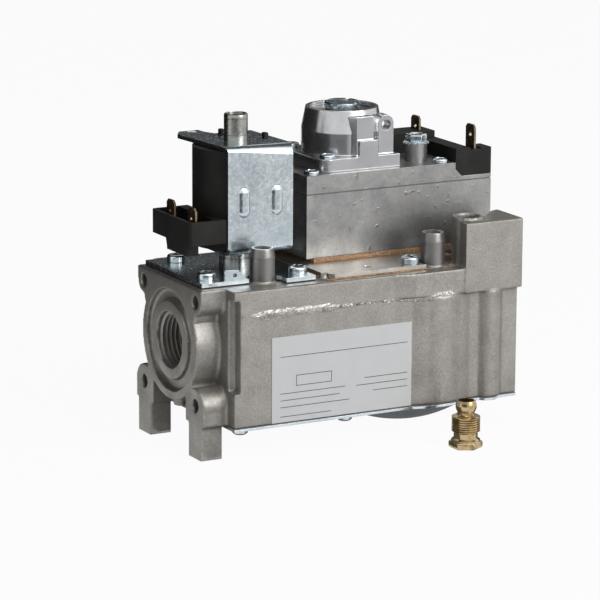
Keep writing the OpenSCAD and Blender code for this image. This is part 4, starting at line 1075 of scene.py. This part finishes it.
def light_up(scene, centre):
    """A world that shows white and lights softly, and the two lamps."""
    scene.world = bpy.data.worlds.new("studio")
    tree = bare_tree(scene.world)
    level = add(tree, "MapRange", {"Value": seen(tree), "To Min": 0.11, "To Max": 1.0})
    light = add(tree, "Background", {"Color": "#ffffff", "Strength": level[0]})
    add(tree, "OutputWorld", {"Surface": light[0]})
    for name, (place, size, power) in LAMPS.items():
        lamp = bpy.data.lights.new(name, "AREA")
        lamp.energy, lamp.size = power, size
        piece = bpy.data.objects.new(name, lamp)
        scene.collection.objects.link(piece)
        piece.location = centre + Vector(place)
        piece.rotation_euler = (-Vector(place)).to_track_quat("-Z", "Y").to_euler()


def stand_camera(scene, stage):
    """The camera at the photo's angle, aimed to the right of the front foot's corner and above it."""
    turn, lift, roll = (radians(v) for v in (stage.azimuth, stage.elevation, stage.roll))
    back = Vector((sin(turn) * cos(lift), -cos(turn) * cos(lift), sin(lift)))
    right = Vector((cos(turn), sin(turn), 0))
    up = back.cross(right)
    right, up = right * cos(roll) + up * sin(roll), up * cos(roll) - right * sin(roll)
    foot = Vector((0, -0.0262, -0.040))
    aside, above = 0.03581, 0.05876
    aim = right * aside + up * above + foot
    camera = bpy.data.cameras.new("photo_camera")
    camera.lens, camera.sensor_width = stage.lens, 36.0
    camera.clip_start, camera.clip_end = 0.05, 30
    view = bpy.data.objects.new("photo_camera", camera)
    scene.collection.objects.link(view)
    facing = Matrix((right, up, back)).transposed().to_4x4()
    view.matrix_world = Matrix.Translation(aim + back * stage.distance) @ facing
    scene.camera = view


class VALVE_OT_stage(Operator):
    """Set the floor, the lights and the camera"""
    bl_idname = "valve.stage"
    bl_label = "Studio"

    def execute(self, context):
        scene = context.scene
        low = CAD_BOX[0].z
        centre = (CAD_BOX[0] + CAD_BOX[1]) / 2
        lay_floor(low)
        hang_cards(centre, low)
        light_up(scene, centre)
        stand_camera(scene, scene.valve_stage)
        scene.view_settings.view_transform = "Standard"
        return {"FINISHED"}


class VALVE_PT_pieces(Panel):
    """Lists the valve's pieces"""
    bl_label = "Gas valve"
    bl_idname = "VALVE_PT_pieces"
    bl_space_type = "VIEW_3D"
    bl_region_type = "UI"
    bl_category = "Gas valve"

    def draw(self, context):
        for operator in OPERATORS:
            self.layout.operator(operator.bl_idname)


OPERATORS = (
    VALVE_OT_finishes, VALVE_OT_casting, VALVE_OT_threads, VALVE_OT_nipples, VALVE_OT_flash, VALVE_OT_label,
    VALVE_OT_plates, VALVE_OT_springs, VALVE_OT_guide_tube, VALVE_OT_yoke, VALVE_OT_coil, VALVE_OT_upper,
    VALVE_OT_turret, VALVE_OT_screws, VALVE_OT_earth_screw, VALVE_OT_fitting, VALVE_OT_stage,
)
GROUPS = {"valve_finish": ValveFinish, "valve_sizes": ValveSizes, "valve_stage": ValveStage}
CLASSES = (*GROUPS.values(), *OPERATORS, VALVE_PT_pieces)


def register():
    for item in CLASSES:
        bpy.utils.register_class(item)
    for name, group in GROUPS.items():
        setattr(Scene, name, PointerProperty(type=group))


def unregister():
    for name in GROUPS:
        delattr(Scene, name)
    for item in reversed(CLASSES):
        bpy.utils.unregister_class(item)


def main():
    register()
    for operator in OPERATORS:
        getattr(bpy.ops.valve, operator.bl_idname.split(".")[1])()


if __name__ == "__main__":
    main()
